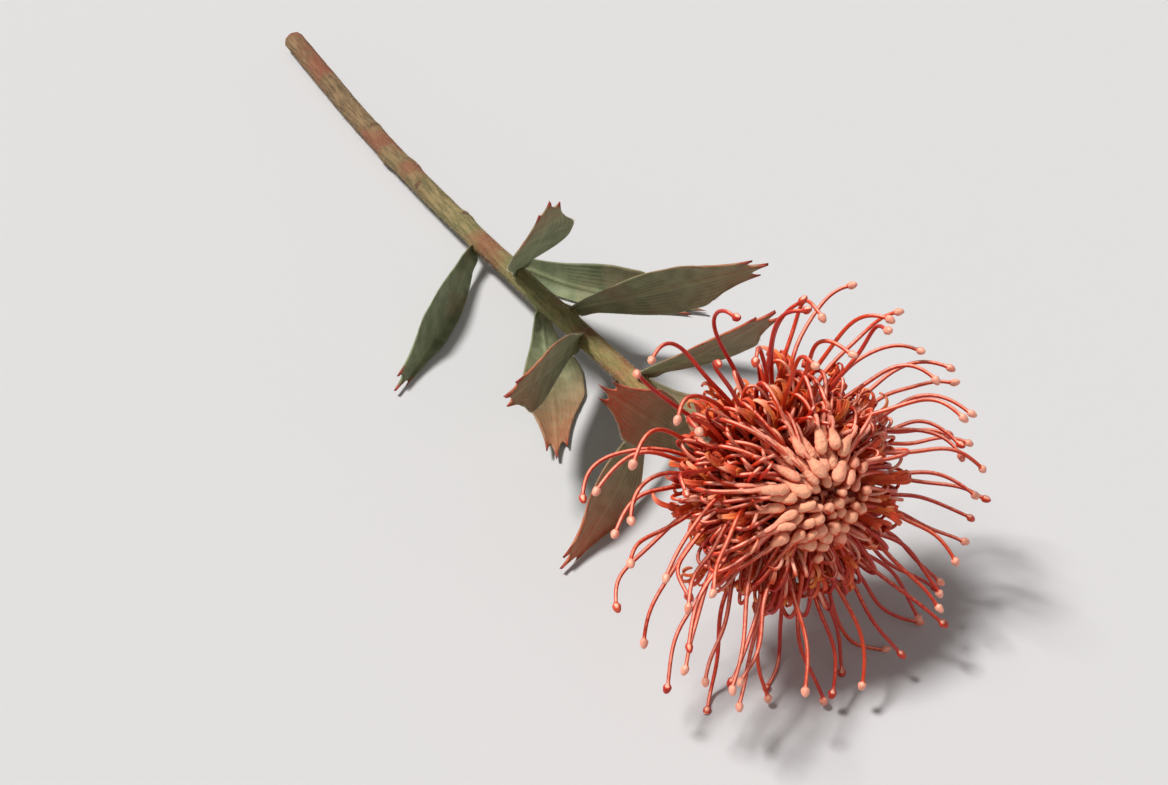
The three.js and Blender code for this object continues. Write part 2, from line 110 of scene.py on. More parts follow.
HAIRPIN_SHARE = [0.1, 1.2]
HAIRPIN_REACH = [27, 42]
HAIRPIN_OPENING = [8, 20]
CAUGHT_STYLES = 130
CAUGHT_SIDE = 140
CAUGHT_CROWDING = 0.4
CAUGHT_REACH = [21, 46]
CAUGHT_CROWN = [34, 16]
CAUGHT_OPENING = [6, 18]
CAUGHT_END_RADIUS = [15, 20]
CAUGHT_END_HEIGHT = [25, 14]
CAUGHT_SWING = 7
CAUGHT_RADIUS = [0.54, 0.44]
CAUGHT_PALE = [0.3, 0.6]
CAUGHT_SEGMENTS = 30
TUBE_RADIUS = [0.8, 0.5]
TUBE_SEGMENTS = 14

# Free styles: wiry, arched out from the core, with a knob at the tip
STYLE_STEPS = 42
STYLE_ROOT_HEIGHT = [5, -1.6]
STYLE_SUNK = 1.6
STYLE_LENGTH = [47, 53]
STYLE_RADIUS = [0.74, 0.52]
STYLE_LEAN = [36, 91]
STYLE_BOW = [22, -16]
STYLE_DROOP = 0.85
STYLE_HOOK = 60
STYLE_HOOK_START = 0.62
STYLE_SIDES = 9
KNOB_RADIUS = 1.12
KNOB_LENGTH = 2.8
KNOB_RINGS = 12
KNOB_WIDEST = 0.4
KNOB_BEND = 0.35

# Perianth of an opened floret: a strap of tepals that part and roll back at its end
STRAP_STEPS = 20
STRAP_LENGTH = [14, 18, 23]
STRAP_HALF_WIDTH = [0.9, 1.5]
STRAP_THICKNESS = 0.4
STRAP_CUP = 0.5
STRAP_OFFSET = 0.26
STRAP_ARCH = 14
RIBBON_COLUMNS = 5

# Curls: the narrow ends of the tepals, and tepals that have come away by themselves
TEPALS = 3
CURLS = 3
CURL_LENGTH = [6.5, 11.5]
CURL_TURN = [115, 430]
CURL_FAN = 0.3
CURL_HALF_WIDTH = [0.45, 0.85]
CURL_THICKNESS = 0.34
CURL_STEPS = 15
CURL_PLACE = [0.18, 0.5]
TUBE_CURL_PLACE = [0.25, 0.7]

# Receptacle with its bracts, between the stem and the core
RECEPTACLE_BOTTOM = -16
RECEPTACLE_TOP = -4
RECEPTACLE_RADIUS = 9.8
RECEPTACLE_SIDES = 64
NECK_RADIUS = 3.7
RECEPTACLE_RIM = 2.4
BRACT_ROWS = 3
BRACTS_IN_ROW = 8
BRACT_LENGTH = 8.5
BRACT_HALF_WIDTH = 2.9
BRACT_SUNK = 1.3
BRACT_LEAN = [40, 58]
BRACT_RISE = [0.16, 0.74]
BRACT_THICKNESS = 0.7
BRACT_CUP = 0.35
BRACT_STEPS = 14
BRACT_COLUMNS = 11

# Stem: it leaves the receptacle along the bloom's axis, bends down and lies flat at its cut end
STEM_LENGTH_Y = 322
STEM_TAIL = 42
STEM_TAIL_RADIUS = 4.1
TAIL_HEIGHT = STEM_TAIL_RADIUS * math.cos(math.pi / 10)
STEM_BEND_Y = 60
STEM_BEND_HEIGHT = 18
STEM_BEND_ASIDE = 3
STEM_TAIL_ASIDE = -5
STEM_WAY_AT_BEND = [-0.03, 1, -0.11]
STEM_HANDLES = [26, 22, 80, 80]
STEM_SEGMENTS = [200, 400]
STEM_FLARE = 0.5
STEM_FLARE_LENGTH = 9
STEM_SIDES = 40
STEM_RING_STEP = 0.8
CUSHION_HEIGHT = 1.1
CUSHION_LENGTH = 3.4
GAP = 0.3
SEAM = 0.6
BARK_RELIEF = 0.16
SCAR_DEPTH = 0.5
SCAR_LENGTH = 1.5
CUT_RINGS = 10

# Leaves in a spiral on the upper stem, and the scars of the stripped ones below them
LEAVES = 11
SCARS = 6
FIRST_LEAF = 22
LEAF_STEP = 14
LEAF_FIRST_TURN = 54
LEAF_THICKNESS = 0.8
LEAF_EDGE_THICKNESS = 0.5
LEAF_STEPS = 28
LEAF_ROWS = 64
LEAF_COLUMNS = 42
LEAF_TOOTH = 2.6
LEAF_CUP = 0.14
LEAF_LENGTH = [46, 66]
LEAF_HALF_WIDTH = [9, 12]
LEAF_LEAN = [64, 44]
LEAF_ARCH = [20, 12]
LEAF_VARIATION = [4, 0.8, 5, 8]
YOUNG_LEAVES = 3
LEAF_SOFTNESS = 1.5
LEAF_ROOT = 0.05
LEAF_HEEL = 0.35
LEAF_WRAP = 1.3
MIDRIB_RELIEF = 0.4
VEIN_RELIEF = 0.1
LEAF_VEINS = 7

# Everything eases off level over this height above the table
TABLE_EASE = 3.5
STYLE_CLEARANCE = 0.1
LEAF_CLEARANCE = 0.7

# Hairs: silvery down on the young stem, the bracts and the leaf margins
HAIR_SIDES = 3
HAIR_RADIUS = 0.035
STEM_HAIRS = 5200
STEM_HAIR_LENGTH = [0.7, 1.5]
STEM_HAIR_REACH = 300
BRACT_HAIRS = 26
BRACT_HAIR_LENGTH = [0.7, 1.4]
LEAF_HAIRS = 260
LEAF_HAIR_LENGTH = [0.5, 1.1]

# Camera: how far it stands round to the bloom's left and above the table, in degrees
CAMERA_TURN = 30
CAMERA_RISE = 44
CAMERA_LENS = 50
CAMERA_DISTANCE = 520
CAMERA_AIM = [-8, 88, 8]

# Floor, in metres: flat round the flower, and swept up far away so that no view shows its edge
FLOOR_SIDES = 64
FLOOR_RINGS = 16
FLOOR_REACH = [1, 16]
FLOOR_FLAT = 3
FLOOR_RISE = 4.2
FLOOR_DROP = 0.0003
FLOOR_COLOUR = [198, 199, 201]

# Light: the way to each lamp, how many degrees wide it looks, its strength and its colour
KEY_LIGHT = [(-0.44, 0.5, 1.15), 12, 4.0, (1.0, 0.97, 0.94)]
FILL_LIGHT = [(0.2, -1.1, 0.8), 50, 0.3, (1.0, 0.98, 0.96)]
SKY_COLOUR = (1.0, 0.96, 0.92, 1)
SKY_STRENGTH = 0.15

LUMP_WAVES = 7
VALUES = ("along", "tint", "mark")


# Repeatable random numbers
def chance(i, stream):
    x = math.sin(i * 127.1 + stream * 311.7) * 43758.5453
    return x - math.floor(x)


def vary(i, stream, most):
    return (2 * chance(i, stream) - 1) * most


def between(ends, share):
    return ends[0] + (ends[1] - ends[0]) * share


def draw(ends, i, stream):
    return between(ends, chance(i, stream))


def even(count):
    """The shares from 0 to 1 in count even steps."""
    return np.linspace(0, 1, count + 1)


def circle(sides):
    return np.arange(sides) * 2 * math.pi / sides


def smoothstep(x, low, high):
    share = np.clip((x - low) / (high - low), 0, 1)
    return share * share * (3 - 2 * share)


def unit(vector):
    length = np.linalg.norm(vector, axis=-1, keepdims=True)
    return vector / np.maximum(length, 1e-12)


# The bloom's own frame: AXIS points out of its face, SIDE and UP lie across it
HEAD = np.array([0, 0, HEAD_HEIGHT], float)
AXIS = np.array([0, -math.cos(BLOOM_TILT), math.sin(BLOOM_TILT)])
SIDE = np.array([1.0, 0, 0])
UP = np.array([0, math.sin(BLOOM_TILT), math.cos(BLOOM_TILT)])
DOWN = np.array([0, 0, -1.0])


def outward(turn):
    return SIDE * math.cos(turn) + UP * math.sin(turn)


def sideways(turn):
    return outward(turn + math.pi / 2)


def head_point(radius, turn, height, aside=0):
    return HEAD + outward(turn) * radius + sideways(turn) * aside + AXIS * height


def floret_turn(number):
    return math.radians(number * GOLDEN_ANGLE)


STEM_TOP = head_point(0, 0, RECEPTACLE_BOTTOM - GAP)
TAIL_END = np.array([STEM_TAIL_ASIDE, STEM_TOP[1] + STEM_LENGTH_Y, TAIL_HEIGHT])

# The rest mount is under the middle of the tail, so it gives the way from the flower's frame to the row's
rest = next(mount for mount in frame["record"]["mounts"] if mount["name"] == "rest")
TAIL_MIDDLE = np.array([TAIL_END[0], TAIL_END[1] - STEM_TAIL / 2, 0])
TO_ROW = np.array(rest["pos_m"]) / MM - TAIL_MIDDLE


def in_row(point):
    """A point of the flower's frame as a Vector of the row frame, in metres."""
    return Vector((np.asarray(point) + TO_ROW) * MM)


def lumps(points, size, i):
    """An uneven field from 0 to 1 over points, with swellings of about the given size, drawn by i."""
    total = 0
    for k in range(LUMP_WAVES):
        number = i * LUMP_WAVES + k
        way = unit(np.array([vary(number, 31, 1), vary(number, 32, 1), vary(number, 33, 1)]))
        pitch = 2 * math.pi / (size * (0.7 + 0.8 * chance(number, 34)))
        total = total + np.sin(points @ way * pitch + 2 * math.pi * chance(number, 40))
    return 0.5 + 0.5 * np.tanh(total / math.sqrt(LUMP_WAVES))


# Curves
def bezier(ends, count):
    """count + 1 points along the Bezier curve of the given control points."""
    t = even(count)[:, None]
    last = len(ends) - 1
    return sum(math.comb(last, k) * t**k * (1 - t) ** (last - k) * end for k, end in enumerate(ends))


def smooth_line(points, t):
    """Points at the shares t of a Catmull-Rom curve through points."""
    last = len(points) - 1
    place = np.clip(np.asarray(t, float), 0, 1) * last
    k = np.minimum(place.astype(int), last - 1)
    w = (place - k)[..., None]
    before, start, end, after = (points[np.clip(k + step, 0, last)] for step in (-1, 0, 1, 2))
    return 0.5 * (
        2 * start
        + (end - before) * w
        + (2 * before - 5 * start + 4 * end - after) * w**2
        + (3 * start - before - 3 * end + after) * w**3
    )


def walk(start, length, steps, clearance, heading):
    """Walks from start in even steps along heading(t), and levels off just above the table."""
    place = np.array(start, float)
    points = [place]
    for step in range(steps):
        direction = heading((step + 0.5) / steps)
        direction[2] *= np.clip((place[2] - clearance) / TABLE_EASE, 0, 1)
        place = place + unit(direction) * length / steps
        points.append(place)
    return np.array(points)


# Mesh code
class Shape:
    """What one piece is made of: points, faces, and the values that its material reads at each point."""

    def __init__(self):
        self.points = []
        self.faces = []
        self.values = {name: [] for name in VALUES}
        self.count = 0

    def add(self, points, faces, **values):
        points = np.asarray(points, float).reshape(-1, 3)
        self.points.append(points)
        self.faces.extend([[k + self.count for k in face] for face in faces])
        for name in VALUES:
            value = np.broadcast_to(values.get(name, 0.0), len(points))
            self.values[name].append(value)
        self.count += len(points)


def spread(value, rings, sides):
    """One value a ring, or one for all, as a value for each corner of each ring."""
    value = np.asarray(value, float)
    if value.ndim == 1:
        value = value[:, None]
    return np.broadcast_to(value, (rings, sides))


def ring_faces(rings, sides):
    """The faces of a closed body of rings of points, flat at both ends."""
    faces = []
    for k in range(rings - 1):
        for s in range(sides):
            a = k * sides + s
            b = k * sides + (s + 1) % sides
            faces.append((a, b, b + sides, a + sides))
    last = (rings - 1) * sides
    faces.append(tuple(reversed(range(sides))))
    faces.append(tuple(range(last, last + sides)))
    return faces


def carried(line, across):
    """For each point of line, the way across carried along without a twist, and the way square to it."""
    wide = across
    for ahead in unit(np.gradient(line, axis=0)):
        wide = unit(wide - ahead * (wide @ ahead))
        yield wide, np.cross(ahead, wide)


def tube(shape, line, radii, across, sides, **values):
    """A closed tube along line. radii and values hold one number a ring, or one for each corner."""
    rings = len(line)
    radii = spread(radii, rings, sides)
    turns = circle(sides)
    points = np.empty((rings, sides, 3))
    for k, (wide, thin) in enumerate(carried(line, across)):
        points[k] = line[k] + np.outer(np.cos(turns) * radii[k], wide)
        points[k] += np.outer(np.sin(turns) * radii[k], thin)
    shown = {name: spread(value, rings, sides).ravel() for name, value in values.items()}
    shape.add(points, ring_faces(rings, sides), **shown)


def blade(shape, grid, thickness, **values):
    """A closed blade of the given thickness about a grid of points: rows along it, columns across."""
    rows, columns = grid.shape[:2]
    normal = unit(np.cross(np.gradient(grid, axis=0), np.gradient(grid, axis=1)))
    half = np.broadcast_to(thickness, (rows, columns))[..., None] / 2
    points = np.stack([grid + normal * half, grid - normal * half])
    back = rows * columns
    faces = []
    for row in range(rows - 1):
        for column in range(columns - 1):
            a = row * columns + column
            c = a + columns
            faces.append((a, c, c + 1, a + 1))
            faces.append((back + a, back + a + 1, back + c + 1, back + c))
    rim = list(range(columns - 1))
    rim += [row * columns + columns - 1 for row in range(rows - 1)]
    rim += [(rows - 1) * columns + column for column in range(columns - 1, 0, -1)]
    rim += [row * columns for row in range(rows - 1, 0, -1)]
    for a, b in zip(rim, rim[1:] + rim[:1]):
        faces.append((a, b, back + b, back + a))
    shown = {
        name: np.tile(np.broadcast_to(value, (rows, columns)).ravel(), 2)
        for name, value in values.items()
    }
    shape.add(points, faces, **shown)


def hair(shape, root, way, length, i):
    """One curved hair, three-sided and pointed."""
    bend = unit(np.cross(way, DOWN + 0.01 * SIDE)) * vary(i, 41, 0.4)
    line = np.array([root + (way * t + bend * t * t) * length for t in (0, 0.5, 1)])
    radii = HAIR_RADIUS * np.array([1, 0.8, 0.2])
    tube(shape, line, radii, np.cross(way, bend + SIDE), HAIR_SIDES, along=[0, 0.5, 1])


def add_object(name, data):
    thing = bpy.data.objects.new(name, data)
    bpy.context.scene.collection.objects.link(thing)
    return thing


def add_mesh(name, points, faces, material):
    """A smooth mesh object. points are in metres of the row frame."""
    mesh = bpy.data.meshes.new(name)
    mesh.from_pydata(points, [], faces)
    mesh.shade_smooth()
    mesh.materials.append(material)
    return add_object(name, mesh)


def make_piece(name, shape, material, slot, *nodes):
    """The shape as a Blender object on the root body, in place of the named nodes."""
    points = np.concatenate(shape.points)
    points[:, 2] = np.maximum(points[:, 2], 0)
    piece = add_mesh(name, ((points + TO_ROW) * MM).tolist(), shape.faces, material)
    for value, numbers in shape.values.items():
        attribute = piece.data.attributes.new(value, "FLOAT", "POINT")
        attribute.data.foreach_set("value", np.concatenate(numbers).astype(np.float32))
    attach(piece, "root")
    if nodes:
        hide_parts(*nodes)


# Clubs
def club(shape, base, tip, i, across):
    """The unopened tip of a perianth: four tepals pressed together, wrinkled by the paint."""
    s = even(CLUB_RINGS)
    turns = circle(CLUB_SIDES)
    swell = between([CLUB_NECK, 1], smoothstep(s, -0.15, CLUB_WIDEST))
    profile = swell * np.sqrt(1 - (np.clip(s - CLUB_WIDEST, 0, 1) / (1.005 - CLUB_WIDEST)) ** 2)
    rows = s[:, None]
    groove = np.abs(np.cos(turns[None, :] * CLUB_TEPALS / 2 + 2 * math.pi * chance(i, 30))) ** 9
    length = np.linalg.norm(tip - base)
    girth = CLUB_GIRTH * np.array([np.cos(turns), np.sin(turns)])
    local = np.stack(np.broadcast_arrays(rows * length, *girth), axis=-1)
    wrinkle = 0.5 - np.abs(1 - 2 * lumps(local, CLUB_LUMP_SIZE, i))
    relief = (CLUB_LUMPS * wrinkle - CLUB_GROOVE * groove) * smoothstep(s, 0.1, 0.5)[:, None]
    size = CLUB_RADIUS * (0.88 + vary(i, 35, CLUB_VARIATION))
    radii = size * profile[:, None] * (1 + relief)
    bend = across * vary(i, 36, CLUB_BEND) + UP * vary(i, 37, CLUB_BEND)
    line = base + (tip - base) * rows + np.sin(s * math.pi)[:, None] * bend
    # How deep a spot lies in a crease. The club material darkens it there as painted shade.
    crease_shade = smoothstep(-relief, 0.04, 0.26)
    tube(shape, line, radii, across, CLUB_SIDES, along=s, tint=chance(i, 38), mark=crease_shade)


def closed_place(i):
    """The base and the tip of a closed floret's club."""
    turn = floret_turn(i)
    share = math.sqrt((i + 0.5) / CLOSED_FLORETS)
    top = between(CLOSED_HEIGHT, share) + vary(i, 8, 1)
    base = head_point(CLOSED_CLUB * share, turn, top - CLUB_LENGTH)
    return base, head_point(CLOSED_TIP * share + 0.4, turn, top, vary(i, 9, 1))


def looped_place(i, share):
    """The base and the tip of a looped floret's club, which leans in over the gap in the middle."""
    turn = floret_turn(CLOSED_FLORETS + i)
    radius = between(LOOP_CLUB_RADIUS, share)
    height = between(LOOP_CLUB_HEIGHT, share) + vary(i, 10, 1)
    aside = vary(i, 11, 1.2)
    flat = between(LEAN_SHARE, 0.5 + 0.5 * math.cos(turn - math.radians(LEAN_SIDE)))
    flat += vary(i, 88, LEAN_VARIATION)
    lean = math.radians(between(LOOP_CLUB_LEAN, share) * flat)
    length = CLUB_LENGTH * (1 + vary(i, 86, CLUB_VARIATION))
    swing = aside + vary(i, 87, CLUB_SWING)
    back = head_point(radius + math.sin(lean) * length, turn, height - math.cos(lean) * length, swing)
    return back, head_point(radius, turn, height, aside)


def parted(places):
    """The clubs' bases and tips, moved aside until the clubs only just touch."""
    ends = np.array(places)
    shares = np.array(CLUB_SPOTS)[:, None]
    owner = np.repeat(np.arange(len(ends)), len(CLUB_SPOTS))
    radii = np.tile(CLUB_SPOT_RADII, len(ends))
    room = (radii[:, None] + radii[None]) * (owner[:, None] != owner[None])
    for _ in range(CLUB_ROUNDS):
        spots = (ends[:, None, 0] * (1 - shares) + ends[:, None, 1] * shares).reshape(-1, 3)
        gaps = spots[:, None] - spots[None]
        distance = np.linalg.norm(gaps, axis=-1)
        push = np.maximum(room - distance, 0) / np.maximum(distance, 0.1)
        move = (gaps * push[..., None]).sum(axis=1).reshape(-1, len(CLUB_SPOTS), 3) * CLUB_GIVE / 2
        ends[:, 0] += (move * (1 - shares)).sum(axis=1)
        ends[:, 1] += (move * shares).sum(axis=1)
    return ends


def strand(shape, line, radius, across, i, pale):
    """A round strand. radius holds that of its two ends, and it turns pale over the shares pale."""
    t = np.linspace(0, 1, len(line))
    mark = smoothstep(t, *pale)
    tube(shape, line, between(radius, t), across, STYLE_SIDES, along=t, tint=chance(i, 38), mark=mark)


def perianth(tubes, stops, base, tip, across, number):
    """The slim tube from the core up into the club's neck, and its line."""
    t = even(TUBE_SEGMENTS)
    lead = base + unit(base - tip) * TUBE_LEAD
    line = smooth_line(np.array([*stops, lead, base + (tip - base) * 0.3]), t)
    tube(tubes, line, between(TUBE_RADIUS, t), across, STYLE_SIDES, along=t, tint=chance(number, 38))
    return line


def closed_floret(tubes, clubs, i, base, tip):
    turn = floret_turn(i)
    share = math.sqrt((i + 0.5) / CLOSED_FLORETS)
    across = sideways(turn)
    root = head_point(CLOSED_ROOT * share, turn, CORE_TOP)
    waist = head_point(CLOSED_WAIST * share, turn, CLOSED_WAIST_HEIGHT)
    perianth(tubes, [root, waist], base, tip, across, i)
    club(clubs, base, tip, i, across)


def looped_floret(styles, tubes, clubs, curls, i, share, base, tip):
    """The style bows far out from the core and comes back to the club that still holds its tip."""
    number = CLOSED_FLORETS + i
    turn = floret_turn(number)
    across = sideways(turn)
    tip_height = between(LOOP_CLUB_HEIGHT, share) + vary(i, 10, 1)
    crown_height = tip_height + between(LOOP_CROWN_RISE, share)
    belly_height = between(LOOP_BELLY_HEIGHT, share)
    reach = between(LOOP_REACH, share) + vary(i, 12, 2.5)
    if i >= LOOPED_FLORETS:
        reach = draw(HAIRPIN_REACH, i, 80)
        belly_height = crown_height - draw(HAIRPIN_OPENING, i, 81)
    swing = vary(i, 13, 4.5)
    root = head_point(between(LOOP_ROOT_RADIUS, share), turn, between(LOOP_ROOT_HEIGHT, share))
    belly = head_point(reach, turn, belly_height, -swing) + DOWN * LOOP_SAG
    crown = head_point(reach, turn, crown_height, swing) + DOWN * LOOP_SAG
    lead = base + unit(base - tip) * LOOP_LEAD
    neck = base + (tip - base) * 0.2
    bow = np.concatenate([bezier([root, belly, crown, lead, base], LOOP_SEGMENTS), neck[None]])
    strand(styles, bow, LOOP_STYLE_RADIUS, across, number, LOOP_PALE)
    middle = head_point(between(LOOP_CLUB_RADIUS, share) + 6, turn, tip_height * 0.45)
    line = perianth(tubes, [root, middle], base, tip, across, number)
    club(clubs, base, tip, number, across)
    for k in range(CURLS):
        curl_from(curls, line, TUBE_CURL_PLACE, across, number * CURLS + k)


def caught_style(styles, i):
    """A style that bows out among the others, with both of its ends lost under the clubs."""
    aside = 2 * chance(i, 90) - 1
    turn = math.radians(CAUGHT_SIDE) + math.pi * aside * abs(aside) ** CAUGHT_CROWDING
    share = chance(i, 91)
    reach = between(CAUGHT_REACH, share)
    crown_height = between(CAUGHT_CROWN, share) + vary(i, 92, 2.5)
    belly_height = crown_height - draw(CAUGHT_OPENING, i, 93)
    swing = vary(i, 94, CAUGHT_SWING)
    stops = [
        head_point(LOOP_ROOT_RADIUS[0], turn, LOOP_ROOT_HEIGHT[0]),
        head_point(reach, turn, belly_height, -swing),
        head_point(reach, turn, crown_height, swing),
        head_point(between(CAUGHT_END_RADIUS, share), turn, between(CAUGHT_END_HEIGHT, share), swing),
        head_point(LOOP_ROOT_RADIUS[0], turn, CORE_TOP),
    ]
    line = bezier(stops, CAUGHT_SEGMENTS)
    strand(styles, line, CAUGHT_RADIUS, sideways(turn), i, CAUGHT_PALE)


# Free florets
def free_floret(i, share):
    """A free floret's turn, its height on the core and its lean."""
    lean = between(STYLE_LEAN, share**0.85) + vary(i, 1, 6)
    return floret_turn(CLOSED_FLORETS + LOOPED_FLORETS + i), between(STYLE_ROOT_HEIGHT, share), lean


def style_line(i, share):
    """A style leans out, bows, droops and hooks at its tip. One that hangs to the table hooks least."""
    turn, height, lean = free_floret(i, share)
    bow = between(STYLE_BOW, share) + vary(i, 2, 9)
    hanging = max(0, -math.sin(turn))
    hook = STYLE_HOOK * (0.1 + chance(i, 3)) * (1 - 0.9 * hanging)
    swing = vary(i, 4, 13)
    hook_swing = vary(i, 5, 45)
    start = head_point(CORE_RADIUS - STYLE_SUNK, turn, height)
    length = between(STYLE_LENGTH, share) + vary(i, 6, 3.5)

    def heading(t):
        tip = smoothstep(t, STYLE_HOOK_START, 1)
        angle = math.radians(lean + bow * t - hook * tip)
        facing = outward(turn + math.radians(swing * t + hook_swing * tip))
        return AXIS * math.cos(angle) + facing * math.sin(angle) + DOWN * STYLE_DROOP * t * t

    line = walk(start, length, STYLE_STEPS, STYLE_CLEARANCE, heading)
    t = even(STYLE_STEPS)
    sway = STYLE_WOBBLE * np.sin(math.pi * t) * np.sin(t * (5 + 6 * chance(i, 82)) + 6 * chance(i, 83))
    return line + sway[:, None] * sideways(turn)


def free_style(shape, line, i):
    t = even(STYLE_STEPS)
    radii = between(STYLE_RADIUS, t)
    ahead = unit(line[-1] - line[-2])
    aslant = unit(np.cross(ahead, outward(chance(i, 39) * 2 * math.pi)))
    s = even(KNOB_RINGS)[1:]
    rise = smoothstep(s, 0, KNOB_WIDEST)
    fall = np.sqrt(1 - np.clip((s - KNOB_WIDEST) / (1.02 - KNOB_WIDEST), 0, 1) ** 2)
    size = KNOB_RADIUS * (1 + vary(i, 42, 0.1))
    knob = (radii[-1] + (size - radii[-1]) * rise) * fall
    tip = line[-1] + KNOB_LENGTH * (np.outer(s, ahead) + np.outer(KNOB_BEND * s * s, aslant))
    mark = np.concatenate([np.zeros(len(line)), smoothstep(s, 0, 0.2)])
    along = np.concatenate([t, np.ones(len(s))])
    line = np.concatenate([line, tip])
    radii = np.concatenate([radii, knob])
    across = sideways(floret_turn(i))
    tube(shape, line, radii, across, STYLE_SIDES, along=along, tint=chance(i, 38), mark=mark)


def ribbon(shape, line, half, across, cup, thickness, **values):
    """A thin strip along line, cupped across its width. across is its width's way at the start."""
    v = np.linspace(-1, 1, RIBBON_COLUMNS)
    grid = np.empty((len(line), RIBBON_COLUMNS, 3))
    for k, (wide, inner) in enumerate(carried(line, across)):
        grid[k] = line[k] + np.outer(v * half[k], wide) + np.outer(cup * half[k] * v**2, inner)
    blade(shape, grid, np.asarray(thickness).reshape(-1, 1) * (1 - 0.45 * v**2), **values)


def curl(shape, root, way, side, number):
    """The free end of a tepal, rolling up from root. It starts along way, and side is across it."""
    length = draw(CURL_LENGTH, number, 72)
    total = math.radians(draw(CURL_TURN, number, 73))
    axle = unit(side + way * vary(number, 74, 0.5) + np.cross(side, way) * vary(number, 75, 0.5))
    drift = vary(number, 77, 0.4)

    def heading(t):
        angle = total * t**1.3
        return way * math.cos(angle) + np.cross(axle, way) * math.sin(angle) + axle * drift * t

    line = walk(root, length, CURL_STEPS, STYLE_CLEARANCE, heading)
    t = even(CURL_STEPS)
    taper = (0.8 + 0.2 * np.sin(5 * t + number)) * np.sqrt(1.03 - t**5)
    half = draw(CURL_HALF_WIDTH, number, 79) * taper
    end = smoothstep(t, 0.3, 0.8)
    pale = end[:, None] * draw([0.3, 1], number, 76)
    thickness = CURL_THICKNESS * (1 + end)
    along = between([0.6, 1], t)[:, None]
    ribbon(shape, line, half, side, 0.5, thickness, along=along, tint=chance(number, 78), mark=pale)


def curl_from(shape, line, place, side, number):
    """A tepal that has come away from its floret and curls from a point of the floret's line."""
    k = int(draw(place, number, 71) * (len(line) - 2))
    sign = 1 if chance(number, 70) < 0.7 else -1
    curl(shape, line[k], unit(line[k + 1] - line[k]), side * sign, number)


def strap(shape, curls, i, share):
    """The tepals of an opened floret: one strap from the core, whose ends part and roll back."""
    turn, height, lean = free_floret(i, share)
    facing = turn + STRAP_OFFSET
    start = head_point(CORE_RADIUS - STYLE_SUNK, facing, height)

    def heading(t):
        angle = math.radians(lean - 7 + STRAP_ARCH * t * t)
        return AXIS * math.cos(angle) + outward(facing) * math.sin(angle)

    length = STRAP_LENGTH[int(3 * chance(i, 84) ** 1.6)] + vary(i, 7, 3)
    line = walk(start, length, STRAP_STEPS, STYLE_CLEARANCE, heading)
    t = even(STRAP_STEPS)
    across = sideways(facing)
    half = between(STRAP_HALF_WIDTH, chance(i, 43) ** 2) * between([0.6, 1], smoothstep(t, 0, 0.5))
    ribbon(shape, line, half, across, STRAP_CUP, STRAP_THICKNESS, along=t[:, None], tint=chance(i, 38))
    way = unit(line[-1] - line[-2])
    for k in range(TEPALS):
        aside = (k - (TEPALS - 1) / 2) * 2 * half[-1] / TEPALS
        number = i * TEPALS + k
        fan = across * (CURL_FAN * aside + vary(number, 95, CURL_FAN)) + AXIS * vary(number, 96, CURL_FAN)
        curl(curls, line[-1] + across * aside - way, unit(way + fan), across, number)


# Turned solids stand on the bloom's axis
def turned(shape, profile, sides, relief):
    """A body turned about the bloom's axis. relief(turns, share) is added to its radius."""
    profile = np.array(profile, float)
    length = np.concatenate([[0], np.cumsum(np.linalg.norm(np.diff(profile, axis=0), axis=1))])
    share = even(TURNED_STEPS)
    radius = np.interp(share, length / length[-1], profile[:, 0])
    height = np.interp(share, length / length[-1], profile[:, 1])
    turns = circle(sides)
    wide = radius[:, None] + relief(turns[None, :], share[:, None]) * np.minimum(radius, 1)[:, None]
    points = [[head_point(r, turn, h) for r, turn in zip(ring, turns)] for ring, h in zip(wide, height)]
    shape.add(points, ring_faces(len(share), sides), along=np.repeat(share, sides))


def core(shape):
    """The dark heart that the florets stand on, pitted where they leave it."""
    profile = [
        (0.1, CORE_BOTTOM - SEAM),
        (RECEPTACLE_RADIUS - 0.6, CORE_BOTTOM - SEAM),
        (CORE_RADIUS, CORE_BOTTOM + 2.5),
        (CORE_RADIUS, CORE_TOP - 2.5),
        (CORE_RADIUS - 1.2, CORE_TOP),
        (PIT_RADIUS - 2, CORE_TOP + 1.8),
        (0.1, CORE_TOP + 2.6),
    ]

    def pits(turn, share):
        return 0.3 * np.sin(17 * turn + 40 * share) * np.sin(60 * share)

    turned(shape, profile, CORE_SIDES, pits)


